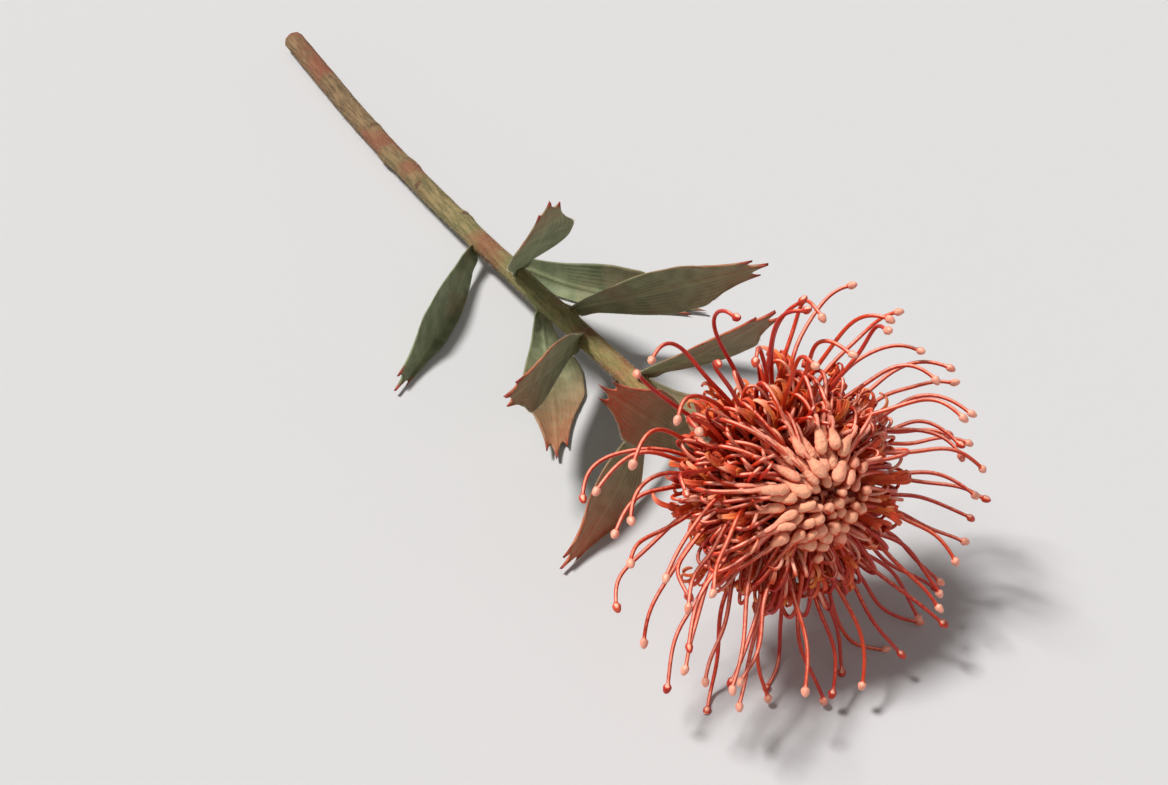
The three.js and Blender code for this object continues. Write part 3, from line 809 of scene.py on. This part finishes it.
def bract(shape, hairs, row, n):
    share = row / (BRACT_ROWS - 1)
    lean = math.radians(between(BRACT_LEAN, share))
    flank = RECEPTACLE_TOP - RECEPTACLE_RIM - RECEPTACLE_BOTTOM
    rise = flank * between(BRACT_RISE, share)
    root = NECK_RADIUS + (RECEPTACLE_RADIUS - NECK_RADIUS) * rise / flank - BRACT_SUNK
    turn = 2 * math.pi * (n + row / 2) / BRACTS_IN_ROW
    i = row * BRACTS_IN_ROW + n
    length = BRACT_LENGTH * (1 + vary(i, 44, 0.06))
    t = even(BRACT_STEPS)
    curl = 0.06 * length * t**3
    way = np.array([math.sin(lean), math.cos(lean)])
    radius = root + way[0] * length * t + curl * way[1]
    height = RECEPTACLE_BOTTOM + rise + way[1] * length * t - curl * way[0]
    line = np.array([head_point(r, turn, h) for r, h in zip(radius, height)])
    across = sideways(turn)
    outer = unit(np.cross(across, unit(np.gradient(line, axis=0))))
    v = np.linspace(-1, 1, BRACT_COLUMNS)
    taper = np.clip(1 - smoothstep(t, 0.3, 1.04) ** 1.2, 0.03, 1)
    half = BRACT_HALF_WIDTH * (0.8 + 0.2 * smoothstep(t, 0, 0.4)) * taper
    lift = -BRACT_CUP * half[:, None] * v**2 + 0.16 * np.exp(-((v / 0.16) ** 2)) * (1 - t[:, None])
    grid = line[:, None] + (half[:, None] * v)[..., None] * across + lift[..., None] * outer[:, None]
    blade(shape, grid, BRACT_THICKNESS * (1 - 0.5 * v**2), along=t[:, None], tint=chance(i, 45))
    for k in range(BRACT_HAIRS):
        number = i * BRACT_HAIRS + k
        at = int(chance(number, 46) * (BRACT_STEPS - 1))
        edge = -1 if k % 2 else 1
        ahead = unit(line[at + 1] - line[at])
        way = unit(across * edge * 0.7 + ahead + outer[at] * vary(number, 47, 0.5))
        margin = grid[:, 0 if edge < 0 else -1]
        hair(hairs, margin[at], way, draw(BRACT_HAIR_LENGTH, number, 48), number)


def receptacle(shape):
    profile = [
        (0.1, RECEPTACLE_BOTTOM - SEAM),
        (NECK_RADIUS, RECEPTACLE_BOTTOM - SEAM),
        (RECEPTACLE_RADIUS, RECEPTACLE_TOP - RECEPTACLE_RIM),
        (RECEPTACLE_RADIUS, RECEPTACLE_TOP),
        (0.1, RECEPTACLE_TOP),
    ]

    def scales(turn, share):
        return 0.15 * np.sin(23 * turn) * np.sin(31 * share)

    turned(shape, profile, RECEPTACLE_SIDES, scales)


# Stem: two bends and a straight tail, as one path from the receptacle to the cut end
def stem_path():
    bend = np.array([STEM_BEND_ASIDE, STEM_TOP[1] + STEM_BEND_Y, STEM_BEND_HEIGHT])
    bend_way = np.array(STEM_WAY_AT_BEND, float)
    tail_start = TAIL_END - np.array([0, STEM_TAIL, 0])
    back = np.array([0, STEM_HANDLES[3], 0])
    neck = STEM_TOP - AXIS * STEM_HANDLES[0]
    upper = bezier([STEM_TOP, neck, bend - bend_way * STEM_HANDLES[1], bend], STEM_SEGMENTS[0])
    below = bend + bend_way * STEM_HANDLES[2]
    lower = bezier([bend, below, tail_start - back, tail_start], STEM_SEGMENTS[1])
    return np.concatenate([upper, lower[1:], TAIL_END[None]])


STEM_POINTS = stem_path()
STEM_REACHED = np.concatenate([[0], np.cumsum(np.linalg.norm(np.diff(STEM_POINTS, axis=0), axis=1))])
STEM_LENGTH = STEM_REACHED[-1]


def stem_radius(distance):
    flare = STEM_FLARE * np.exp(-distance / STEM_FLARE_LENGTH)
    taper = np.minimum(1, distance / (STEM_LENGTH - STEM_TAIL))
    slim = NECK_RADIUS - STEM_FLARE
    return slim + (STEM_TAIL_RADIUS - slim) * taper + flare


def attachment(n):
    """Where leaf or scar number n sits: its distance from the bloom and its turn about the stem."""
    distance = FIRST_LEAF + n * LEAF_STEP + vary(n, 20, 1.5)
    return distance, math.radians(LEAF_FIRST_TURN + n * GOLDEN_ANGLE + vary(n, 21, 6))


def stem_place(distance):
    return np.array([np.interp(distance, STEM_REACHED, STEM_POINTS[:, k]) for k in range(3)])


def stem_frame(distance):
    """The stem's place at a distance, the way forward to the bloom, and its two ways across."""
    near = np.clip(distance, 0.5, STEM_LENGTH - 0.5)
    forward = unit(stem_place(near - 0.5) - stem_place(near + 0.5))
    right = unit(-np.cross([0, 0, 1], forward))
    over = unit(np.cross(right, forward))
    return stem_place(distance), forward, right, over if over[2] > 0 else -over


def radial(right, over, turn):
    return right * np.cos(turn) + over * np.sin(turn)


def cushion(distance, turns):
    """How far the leaf cushions stand proud at a distance."""
    height = np.zeros_like(turns)
    for n in range(LEAVES + SCARS):
        spot, facing = attachment(n)
        bulge = CUSHION_HEIGHT * math.exp(-(((distance - spot) / CUSHION_LENGTH) ** 2))
        height = np.maximum(height, bulge * np.maximum(0, np.cos(turns - facing)) ** 4)
    return height


def scar(distance, turns):
    """How deep the stripped leaves' scars lie at a distance, as small shields across the stem."""
    depth = np.zeros_like(turns)
    for n in range(LEAVES, LEAVES + SCARS):
        spot, facing = attachment(n)
        aside = (turns - facing + math.pi) % (2 * math.pi) - math.pi
        reach = ((distance - spot) / SCAR_LENGTH) ** 2 + (aside / 0.5) ** 2
        depth = np.maximum(depth, 1 - smoothstep(reach, 0.6, 1.2))
    return depth


def bark_relief(distance, turns):
    ridge = np.sin(9 * turns + 0.05 * distance + 1.2 * np.sin(0.11 * distance))
    crack = np.sin(15 * turns - 0.16 * distance) * np.sin(0.45 * distance + 4 * turns)
    return BARK_RELIEF * (0.6 * ridge + 0.4 * crack)


def stem(shape, hairs):
    distances = np.linspace(0, STEM_LENGTH, int(STEM_LENGTH / STEM_RING_STEP))
    turns = circle(STEM_SIDES)
    points = []
    marks = []
    for distance in distances:
        place, _, right, over = stem_frame(distance)
        scarred = scar(distance, turns)
        radius = stem_radius(distance) + cushion(distance, turns) - SCAR_DEPTH * scarred
        radius = radius + bark_relief(distance, turns) * (1 - scarred)
        points.append([place + radial(right, over, turn) * r for turn, r in zip(turns, radius)])
        marks.append(0.5 * scarred)
    place, forward, right, over = stem_frame(STEM_LENGTH)
    outer = points[-1]
    for k in range(1, CUT_RINGS + 1):
        share = 1 - k / CUT_RINGS
        dish = 0.25 * math.sin(math.pi * share) - 0.35 * (share < 0.2)
        points.append([place + (corner - place) * max(share, 0.02) + forward * dish for corner in outer])
        marks.append(np.full(STEM_SIDES, 1.0))
    along = np.concatenate([distances / STEM_LENGTH, np.ones(CUT_RINGS)])
    faces = ring_faces(len(points), STEM_SIDES)
    shape.add(points, faces, along=np.repeat(along, STEM_SIDES), mark=np.concatenate(marks))
    for i in range(STEM_HAIRS):
        distance = STEM_HAIR_REACH * chance(i, 50) ** 1.6 + 1
        turn = 2 * math.pi * chance(i, 51)
        place, forward, right, over = stem_frame(distance)
        out = radial(right, over, turn)
        root = place + out * (stem_radius(distance) + cushion(distance, np.array([turn]))[0] - 0.1)
        aside = radial(right, over, turn + 1.6) * vary(i, 53, 0.6)
        way = unit(out + forward * (0.9 + vary(i, 52, 0.5)) + aside)
        hair(hairs, root, way, draw(STEM_HAIR_LENGTH, i, 54), i)


# Leaves: leathery blades with blunt red-tipped teeth, cupped along the midrib
def leaf_shape(n):
    """A leaf's length, half width, lean and arch."""
    grown = min(1, n / YOUNG_LEAVES)
    forms = zip((LEAF_LENGTH, LEAF_HALF_WIDTH, LEAF_LEAN, LEAF_ARCH), LEAF_VARIATION)
    return [between(ends, grown) + vary(n, 22 + k, most) for k, (ends, most) in enumerate(forms)]


def leaf_outline(u):
    base = 0.3 + 0.7 * smoothstep(u, 0, 0.6)
    return base * (1 - 0.5 * smoothstep(u, 0.72, 1))


def leaf_grid(n, u, v):
    """The leaf's middle surface at shares u along it and v across, from -1 to 1."""
    distance, turn = attachment(n)
    length, half_width, lean, arch = leaf_shape(n)
    place, forward, right, over = stem_frame(distance)
    out = radial(right, over, turn)
    seat = stem_radius(distance) + CUSHION_HEIGHT + GAP + LEAF_THICKNESS / 2
    across = unit(np.cross(forward, out))

    def heading(t):
        angle = math.radians(lean + arch * t)
        return forward * math.cos(angle) + out * math.sin(angle)

    line = walk(place + out * seat, length, LEAF_STEPS, LEAF_CLEARANCE, heading)
    notch = 1 - 2 * np.abs(np.sin(1.5 * math.pi * v)) ** 0.8
    tooth = LEAF_TOOTH / length * notch * smoothstep(u, 0.7, 1)
    reach = u * (0.96 - 0.13 * v * v) + tooth
    within = np.clip(reach, 0, 1)
    before, here, after = (smooth_line(line, within + step) for step in (-0.01, 0, 0.01))
    ahead = unit(after - before)
    normal = unit(np.cross(ahead, across))
    heel = between([LEAF_HEEL, 1], smoothstep(u, -LEAF_ROOT, 0.03))
    half = half_width * leaf_outline(np.maximum(u, 0)) * heel
    point = here + ahead * ((reach - within) * length)[..., None]
    wave = 0.35 * np.sin(7 * u + 6 * chance(n, 60)) * v * np.abs(v)
    wrap = LEAF_WRAP * (1 - smoothstep(u, 0, 0.12))
    rise = (LEAF_CUP * half + wrap) * v * v + wave
    point = point + across * (v * half)[..., None] + normal * rise[..., None]
    room = (point[..., 2] - LEAF_CLEARANCE) / LEAF_SOFTNESS
    point[..., 2] = LEAF_CLEARANCE + LEAF_SOFTNESS * np.logaddexp(0, room)
    return point, across


def leaf(shape, hairs, n):
    u = np.linspace(-LEAF_ROOT, 1, LEAF_ROWS + 1)[:, None]
    v = np.linspace(-1, 1, LEAF_COLUMNS + 1)[None, :]
    u, v = np.broadcast_arrays(u, v)
    grid, across = leaf_grid(n, u, v)
    midrib = np.exp(-((v * leaf_outline(np.maximum(u, 0)) / 0.07) ** 2)) * (1 - 0.7 * u)
    veins = np.cos(math.pi * LEAF_VEINS * (np.abs(v) + 0.12 * u)) ** 8
    veins = veins * (1 - midrib) * smoothstep(u, 0.02, 0.2)
    thickness = LEAF_THICKNESS - (LEAF_THICKNESS - LEAF_EDGE_THICKNESS) * v**2
    thickness = thickness + 2 * MIDRIB_RELIEF * midrib + 2 * VEIN_RELIEF * veins
    gland = smoothstep(u, 0.93, 1) * smoothstep(np.cos(3 * math.pi * v), 0.2, 0.9)
    tint = chance(n, 61) * 0.2 + 0.4 * midrib + 0.4 * veins
    blade(shape, grid, thickness, along=np.maximum(u, 0), tint=tint, mark=gland)
    for k in range(LEAF_HAIRS):
        number = n * LEAF_HAIRS + k
        row = 2 + int(chance(number, 62) * (LEAF_ROWS - 4))
        edge = -1 if k % 2 else 1
        margin = grid[:, 0 if edge < 0 else -1]
        ahead = unit(margin[row + 1] - margin[row])
        way = unit(across * edge + ahead * 0.8 - DOWN * vary(number, 63, 0.8))
        hair(hairs, margin[row], way, draw(LEAF_HAIR_LENGTH, number, 64), number)


# Materials
def linear(red, green, blue):
    """A colour from 0 to 255 as the eye sees it, as the linear colour that a shader takes."""
    shares = np.array([red, green, blue]) / 255
    light = np.where(shares > 0.04, ((shares + 0.055) / 1.055) ** 2.4, shares / 12.92)
    return (*light.tolist(), 1)


PAINT = linear(250, 160, 134)
PAINT_PALE = linear(252, 178, 142)
PAINT_TIP = linear(254, 190, 164)
# A deep orange-red paint. As the thin coat on the florets it also paints the warm light bounced between
# them.
PAINT_DEEP_AND_BOUNCE = linear(218, 76, 42)
# The florets' deep crimson at their roots, which also paints the shade deep in the bloom
FLORET_DEEP_SHADE = linear(62, 5, 7)
FLORET_RED = linear(180, 28, 20)
FLORET_ORANGE = linear(212, 66, 22)
# Yellow-orange of some tepals, partly their own colour and partly a painted glow of light shining through
# them
STRAP_GLOW_YELLOW = linear(248, 146, 60)

# The spray came from above, a little from the front of the bloom and from its left. The pale coat on the
# side facing it also paints the highlight of the light from above.
SPRAY_AND_HIGHLIGHT = Vector(AXIS * 0.45 + np.array([-0.2, 0.2, 0.9])).normalized()
HEAD_IN_ROW = in_row(HEAD)


class Graph:
    """A material's node tree, with a short call for each kind of node used here."""

    def __init__(self, name):
        self.material = bpy.data.materials.new(name)
        self.material.use_nodes = True
        self.nodes = self.material.node_tree.nodes
        self.links = self.material.node_tree.links
        self.nodes.clear()
        self.coordinates = self.node("TexCoord", "Object")
        self.normal = self.node("NewGeometry", "Normal")

    def put(self, socket, value):
        if isinstance(value, bpy.types.NodeSocket):
            self.links.new(value, socket)
        else:
            socket.default_value = value

    def node(self, kind, result, *inputs, **settings):
        """The result of a new node with these settings, which takes inputs in its first sockets."""
        node = self.nodes.new("ShaderNode" + kind)
        for name, setting in settings.items():
            setattr(node, name, setting)
        for socket, value in zip(node.inputs, inputs):
            self.put(socket, value)
        return node.outputs[result]

    def value(self, name):
        return self.node("Attribute", "Fac", attribute_name=name)

    def maths(self, operation, *inputs, **settings):
        return self.node("Math", "Value", *inputs, operation=operation, **settings)

    def times(self, first, second):
        return self.maths("MULTIPLY", first, second)

    def vectors(self, operation, result, *inputs):
        return self.node("VectorMath", result, *inputs, operation=operation)

    def ease(self, value, low, high, to_low=0.0, to_high=1.0):
        ends = (low, high, to_low, to_high)
        return self.node("MapRange", "Result", value, *ends, interpolation_type="SMOOTHSTEP")

    def noise(self, scale, detail=2.0, stretch=(1, 1, 1)):
        node = self.nodes.new("ShaderNodeTexNoise")
        self.put(node.inputs["Vector"], self.vectors("MULTIPLY", "Vector", self.coordinates, stretch))
        node.inputs["Scale"].default_value = scale
        node.inputs["Detail"].default_value = detail
        return node.outputs["Fac"]

    def blend(self, share, low, high):
        node = self.nodes.new("ShaderNodeMix")
        node.data_type = "RGBA"
        self.put(node.inputs["Factor"], share)
        for name, given in (("A", low), ("B", high)):
            socket = next(s for s in node.inputs if s.name == name and s.type == "RGBA")
            self.put(socket, given)
        return next(s for s in node.outputs if s.type == "RGBA")

    def fade(self, value, low, high, first, second, most=1.0):
        """From the first colour towards the second, up to the share most, as value goes from low to high."""
        return self.blend(self.ease(value, low, high, 0.0, most), first, second)

    def finish(self, colour, roughness, grain, depth, specular, **constants):
        """The material. Its grain stands proud by depth, in millimetres."""
        shader = self.nodes.new("ShaderNodeBsdfPrincipled")
        bump = self.nodes.new("ShaderNodeBump")
        bump.inputs["Distance"].default_value = depth * MM
        self.put(bump.inputs["Height"], grain)
        self.put(shader.inputs["Base Color"], colour)
        self.put(shader.inputs["Roughness"], roughness)
        self.put(shader.inputs["Normal"], bump.outputs["Normal"])
        shader.inputs["Specular IOR Level"].default_value = specular
        for name, number in constants.items():
            shader.inputs[name.replace("_", " ")].default_value = number
        output = self.nodes.new("ShaderNodeOutputMaterial")
        self.links.new(shader.outputs["BSDF"], output.inputs["Surface"])
        return self.material

    def facing(self, behind, front, least=0.0):
        """How squarely a spot faces the spray. On the florets, this way also sets where the painted
        highlight lies.
        """
        square = self.vectors("DOT_PRODUCT", "Value", self.normal, SPRAY_AND_HIGHLIGHT)
        return self.ease(square, behind, front, least)

    def far_out(self, near, far, *ends):
        """How far a spot is from the middle of the bloom, between near and far in millimetres."""
        distance = self.vectors("DISTANCE", "Value", self.coordinates, HEAD_IN_ROW)
        return self.ease(distance, near * MM, far * MM, *ends)

    def paint_and_painted_light(self, near, far, behind, front):
        """How much spray a spot has caught: most where it faces the spray, and least deep in the bloom. The
        pale coat facing the spray also paints the highlight of the light from above, and the bare colour
        left deep in the bloom also paints the shade there.
        """
        speckle = self.ease(self.noise(900, 3), 0.3, 0.7, -0.16, 0.16)
        caught = self.maths("ADD", self.facing(behind, front), speckle)
        return self.maths("MULTIPLY", caught, self.far_out(near, far), use_clamp=True)

    def painted(self, cover, bare, pale):
        """A thin coat is deep in colour, which also paints the warm light bounced between the florets, and a
        full one pale, which on the lit tops also paints a highlight.
        """
        return self.fade(cover, 0.35, 1, self.fade(cover, 0, 0.6, bare, PAINT_DEEP_AND_BOUNCE), pale)


def style_material():
    graph = Graph("painted_style")
    knob = graph.value("mark")
    tint = graph.value("tint")
    # Darker towards the root: painted shade deep in the bloom
    bare = graph.fade(graph.value("along"), 0.02, 0.35, FLORET_DEEP_SHADE, FLORET_RED)
    bare = graph.fade(tint, 0.3, 1, bare, FLORET_ORANGE, 0.7)
    bare = graph.fade(graph.noise(260), 0.35, 0.75, bare, FLORET_ORANGE, 0.4)
    caught = graph.times(knob, graph.ease(tint, 0.1, 0.5, 0.1, 0.75))
    # A narrow pale stripe along the tops that face the spray: real paint and a painted highlight
    cover = graph.maths("MAXIMUM", graph.paint_and_painted_light(6, 26, 0.63, 1.04), caught)
    colour = graph.painted(cover, bare, graph.blend(knob, PAINT, PAINT_TIP))
    roughness = graph.ease(cover, 0, 1, 0.34, 0.46)
    grain = graph.noise(1600, 3)
    return graph.finish(colour, roughness, grain, 0.1, 0.36, Coat_Weight=0.12, Coat_Roughness=0.2)


def club_material():
    graph = Graph("painted_club")
    crease_shade = graph.value("mark")
    paint = graph.fade(graph.value("tint"), 0, 1, PAINT_PALE, PAINT)
    paint = graph.fade(graph.noise(700, 3), 0.35, 0.7, paint, PAINT_PALE)
    # Redder, with less pale paint, in the creases: painted shade
    under = graph.blend(crease_shade, FLORET_ORANGE, FLORET_RED)
    neck = graph.ease(graph.value("along"), 0, 0.4, 0.8, 1)
    cover = graph.times(neck, graph.ease(crease_shade, 0.1, 1, 1, 0.55))
    # Less pale paint on the sides turned from the spray and deep in the bloom: partly painted shade
    cover = graph.times(cover, graph.ease(graph.paint_and_painted_light(8, 22, -0.55, 0.55), 0, 1, 0.25, 1))
    colour = graph.painted(cover, under, paint)
    grain = graph.maths("ADD", graph.noise(1500, 4), graph.times(graph.noise(520), 1.5))
    return graph.finish(colour, 0.78, grain, 0.3, 0.3)


def strap_material():
    graph = Graph("painted_strap")
    split_club = graph.value("mark")
    bare = graph.fade(graph.value("along"), 0.05, 0.6, FLORET_RED, FLORET_ORANGE)
    # Yellow patches on some tepals: partly their own colour, partly a painted glow of light through the thin
    # tepals
    glow_blotches = graph.ease(graph.noise(170), 0.3, 0.6)
    yellow = graph.times(glow_blotches, graph.ease(graph.value("tint"), 0.4, 0.75))
    bare = graph.blend(yellow, bare, STRAP_GLOW_YELLOW)
    paint = graph.blend(split_club, PAINT_DEEP_AND_BOUNCE, PAINT_PALE)
    # More pale paint where the strap faces the spray, partly a painted highlight, and less deep in the
    # bloom, partly painted shade
    cover = graph.times(graph.paint_and_painted_light(12, 28, -0.1, 0.9), graph.ease(split_club, 0, 1, 0.5, 1))
    cover = graph.maths("MAXIMUM", cover, graph.times(split_club, 0.55))
    return graph.finish(graph.blend(cover, bare, paint), 0.6, graph.noise(1100, 3), 0.15, 0.4)


def tube_material():
    graph = Graph("downy_tube")
    # Darker towards the root, as painted shade deep in the bloom, and pale where it faces the spray, partly
    # as a painted highlight
    bare = graph.fade(graph.value("along"), 0.1, 0.8, FLORET_DEEP_SHADE, FLORET_ORANGE)
    colour = graph.painted(graph.paint_and_painted_light(12, 30, -0.1, 0.9), bare, PAINT)
    return graph.finish(colour, 0.65, graph.noise(1400, 3), 0.15, 0.35)


def core_material():
    graph = Graph("dark_core")
    # The core's dark red also paints the shade deep inside the bloom
    colour = graph.fade(graph.noise(500, 4), 0.3, 0.7, linear(52, 10, 8), linear(120, 34, 20))
    return graph.finish(colour, 0.8, graph.noise(900, 4), 0.5, 0.3)


def bract_material():
    graph = Graph("painted_bract")
    bare = graph.fade(graph.value("along"), 0.1, 0.9, linear(118, 96, 62), linear(128, 62, 44))
    bare = graph.fade(graph.noise(650, 3), 0.4, 0.7, bare, linear(150, 120, 84), 0.7)
    cover = graph.ease(graph.noise(1100, 4), 0.3, 0.75, 0.1, 0.6)
    return graph.finish(graph.blend(cover, bare, PAINT_DEEP_AND_BOUNCE), 0.8, graph.noise(1300, 4), 0.2, 0.3)


def bark_material():
    graph = Graph("young_bark")
    along = graph.value("along")
    mark = graph.value("mark")
    fine = graph.noise(160, 5, (6, 1, 6))
    young = graph.fade(fine, 0.3, 0.7, linear(112, 118, 70), linear(150, 142, 96))
    old = graph.fade(fine, 0.3, 0.7, linear(98, 80, 56), linear(142, 116, 84))
    bare = graph.fade(along, 0.25, 0.85, young, old)
    bare = graph.fade(graph.noise(60, 3), 0.45, 0.7, bare, linear(138, 74, 56), 0.65)
    drift = graph.ease(along, 0, 0.34, 0.75, 0)
    spots = graph.ease(graph.noise(1500, 4), 0.32, 0.72, 0.1, 0.9)
    bare = graph.blend(graph.times(drift, spots), bare, PAINT_DEEP_AND_BOUNCE)
    wood = graph.fade(graph.noise(420, 4), 0.35, 0.65, linear(206, 186, 140), linear(176, 146, 98))
    scarred = graph.fade(mark, 0.1, 0.45, bare, linear(104, 78, 58))
    colour = graph.fade(mark, 0.6, 0.9, scarred, wood)
    grain = graph.maths("ADD", fine, graph.noise(1200, 3))
    return graph.finish(colour, 0.82, grain, 0.4, 0.3)


def leaf_material():
    graph = Graph("grey_green_leaf")
    mottle = graph.noise(220, 4)
    green = graph.fade(mottle, 0.3, 0.7, linear(104, 116, 84), linear(134, 142, 108))
    green = graph.fade(graph.value("tint"), 0.2, 0.75, green, linear(170, 170, 122), 0.75)
    green = graph.fade(graph.noise(35, 3), 0.5, 0.75, green, linear(140, 104, 82), 0.6)
    caught = graph.times(graph.far_out(45, 150, 1, 0), graph.facing(-0.35, 0.6, 0.25))
    spots = graph.ease(graph.noise(2600, 4), 0.3, 0.68, 0.25, 1)
    reach = graph.ease(graph.value("along"), 0.25, 1, 0.15, 1)
    dust = graph.times(caught, graph.times(spots, reach))
    colour = graph.blend(dust, green, PAINT_DEEP_AND_BOUNCE)
    gland = graph.times(graph.value("mark"), 0.9)
    colour = graph.blend(gland, colour, linear(150, 44, 30))
    grain = graph.maths("ADD", graph.noise(1500, 3), graph.times(mottle, 0.8))
    return graph.finish(colour, 0.62, grain, 0.15, 0.4)


def hair_material():
    graph = Graph("silver_hair")
    colour = graph.blend(graph.noise(300), linear(206, 196, 170), linear(230, 214, 190))
    return graph.finish(colour, 0.6, graph.noise(2000), 0.02, 0.4)


# The flower's pieces
def make_bloom():
    styles, loops, tubes, clubs, straps, ends, curls, heart, buds, bud_tubes = (Shape() for _ in range(10))
    florets = [(i, i / (FREE_FLORETS - 1)) for i in range(FREE_FLORETS)]
    florets += [(FIRST_EXTRA + k, (k + 0.5) / EXTRA_FREE) for k in range(EXTRA_FREE)]
    for i, share in florets:
        line = style_line(i, share)
        free_style(styles, line, i)
        strap(straps, ends, i, share)
        for k in range(CURLS):
            curl_from(curls, line, CURL_PLACE, outward(floret_turn(i) + k), i * CURLS + k)
    for k in range(EXTRA_STRAPS):
        strap(straps, ends, FIRST_EXTRA_STRAP + k, (k + 0.5) / EXTRA_STRAPS)
    for i in range(CAUGHT_STYLES):
        caught_style(loops, i)
    looped = [(i, i / (LOOPED_FLORETS - 1)) for i in range(LOOPED_FLORETS)]
    looped += [(LOOPED_FLORETS + k, between(HAIRPIN_SHARE, (k + 0.5) / HAIRPINS)) for k in range(HAIRPINS)]
    closed = [closed_place(i) for i in range(CLOSED_FLORETS)]
    places = parted(closed + [looped_place(*floret) for floret in looped])
    for i, place in enumerate(places[:CLOSED_FLORETS]):
        closed_floret(bud_tubes, buds, i, *place)
    for floret, place in zip(looped, places[CLOSED_FLORETS:]):
        looped_floret(loops, tubes, clubs, curls, *floret, *place)
    core(heart)
    style_look = style_material()
    club_look = club_material()
    tube_look = tube_material()
    strap_look = strap_material()
    make_piece("free_styles", styles, style_look, "painted_florets", "open_florets")
    make_piece("looped_styles", loops, style_look, "painted_florets", "open_florets")
    make_piece("perianth_tubes", tubes, tube_look, "painted_florets", "open_florets")
    make_piece("looped_clubs", clubs, club_look, "painted_buds", "open_florets")
    make_piece("tepal_straps", straps, strap_look, "painted_florets", "open_florets")
    make_piece("tepal_ends", ends, strap_look, "painted_florets", "open_florets")
    make_piece("tepal_curls", curls, strap_look, "painted_florets", "open_florets")
    make_piece("floret_core", heart, core_material(), "painted_florets", "open_florets")
    make_piece("closed_clubs", buds, club_look, "painted_buds", "bud_florets")
    make_piece("closed_tubes", bud_tubes, tube_look, "painted_buds", "bud_florets")


def make_stem_and_leaves():
    cone, bracts, bract_hairs, bark, stem_hairs = (Shape() for _ in range(5))
    receptacle(cone)
    for row in range(BRACT_ROWS):
        for n in range(BRACTS_IN_ROW):
            bract(bracts, bract_hairs, row, n)
    stem(bark, stem_hairs)
    bract_look = bract_material()
    hair_look = hair_material()
    leaf_look = leaf_material()
    make_piece("receptacle_cone", cone, bract_look, "painted_bracts", "involucre")
    make_piece("pointed_bracts", bracts, bract_look, "painted_bracts", "involucre")
    make_piece("bract_hairs", bract_hairs, hair_look, "painted_bracts")
    make_piece("stem_bark", bark, bark_material(), "bark", "stem")
    make_piece("stem_down", stem_hairs, hair_look, "bark")
    for n in range(LEAVES):
        name = f"{n + 1:02d}"
        blade_shape, margin = Shape(), Shape()
        leaf(blade_shape, margin, n)
        make_piece("leaf_blade_" + name, blade_shape, leaf_look, "leaf", "leaf_" + name)
        make_piece("leaf_hairs_" + name, margin, hair_look, "leaf")


# Floor, light and camera
def make_floor():
    turns = -circle(FLOOR_SIDES)
    radii = np.linspace(*FLOOR_REACH, FLOOR_RINGS)
    sweep = np.clip((radii - FLOOR_FLAT) / (FLOOR_REACH[1] - FLOOR_FLAT), 0, 1) ** 1.5
    heights = FLOOR_RISE * sweep - FLOOR_DROP
    points = [(r * math.cos(turn), r * math.sin(turn), z) for r, z in zip(radii, heights) for turn in turns]
    material = bpy.data.materials.new("pale_floor")
    material.use_nodes = True
    shader = material.node_tree.nodes["Principled BSDF"]
    shader.inputs["Base Color"].default_value = linear(*FLOOR_COLOUR)
    shader.inputs["Roughness"].default_value = 0.9
    floor = add_mesh("floor", points, ring_faces(FLOOR_RINGS, FLOOR_SIDES)[:-1], material)


def add_light(name, way, softness, strength, colour):
    data = bpy.data.lights.new(name, "SUN")
    data.angle = math.radians(softness)
    data.energy = strength
    data.color = colour
    light = add_object(name, data)
    light.location = way
    light.rotation_euler = (-Vector(way)).to_track_quat("-Z", "Y").to_euler()


def light_scene():
    world = bpy.data.worlds.new("studio")
    world.use_nodes = True
    sky = world.node_tree.nodes["Background"]
    sky.inputs["Color"].default_value = SKY_COLOUR
    sky.inputs["Strength"].default_value = SKY_STRENGTH
    bpy.context.scene.world = world
    bpy.context.scene.view_settings.view_transform = "Standard"
    add_light("key", *KEY_LIGHT)
    add_light("fill", *FILL_LIGHT)


def make_camera():
    data = bpy.data.cameras.new("camera")
    data.lens = CAMERA_LENS
    camera = add_object("camera", data)
    turn, rise = math.radians(CAMERA_TURN), math.radians(CAMERA_RISE)
    back = np.array([-math.sin(turn) * math.cos(rise), -math.cos(turn) * math.cos(rise), math.sin(rise)])
    camera.location = in_row(np.array(CAMERA_AIM) + back * CAMERA_DISTANCE)
    camera.rotation_euler = Vector(-back).to_track_quat("-Z", "Y").to_euler()
    bpy.context.scene.camera = camera


make_bloom()
make_stem_and_leaves()
make_floor()
light_scene()
make_camera()
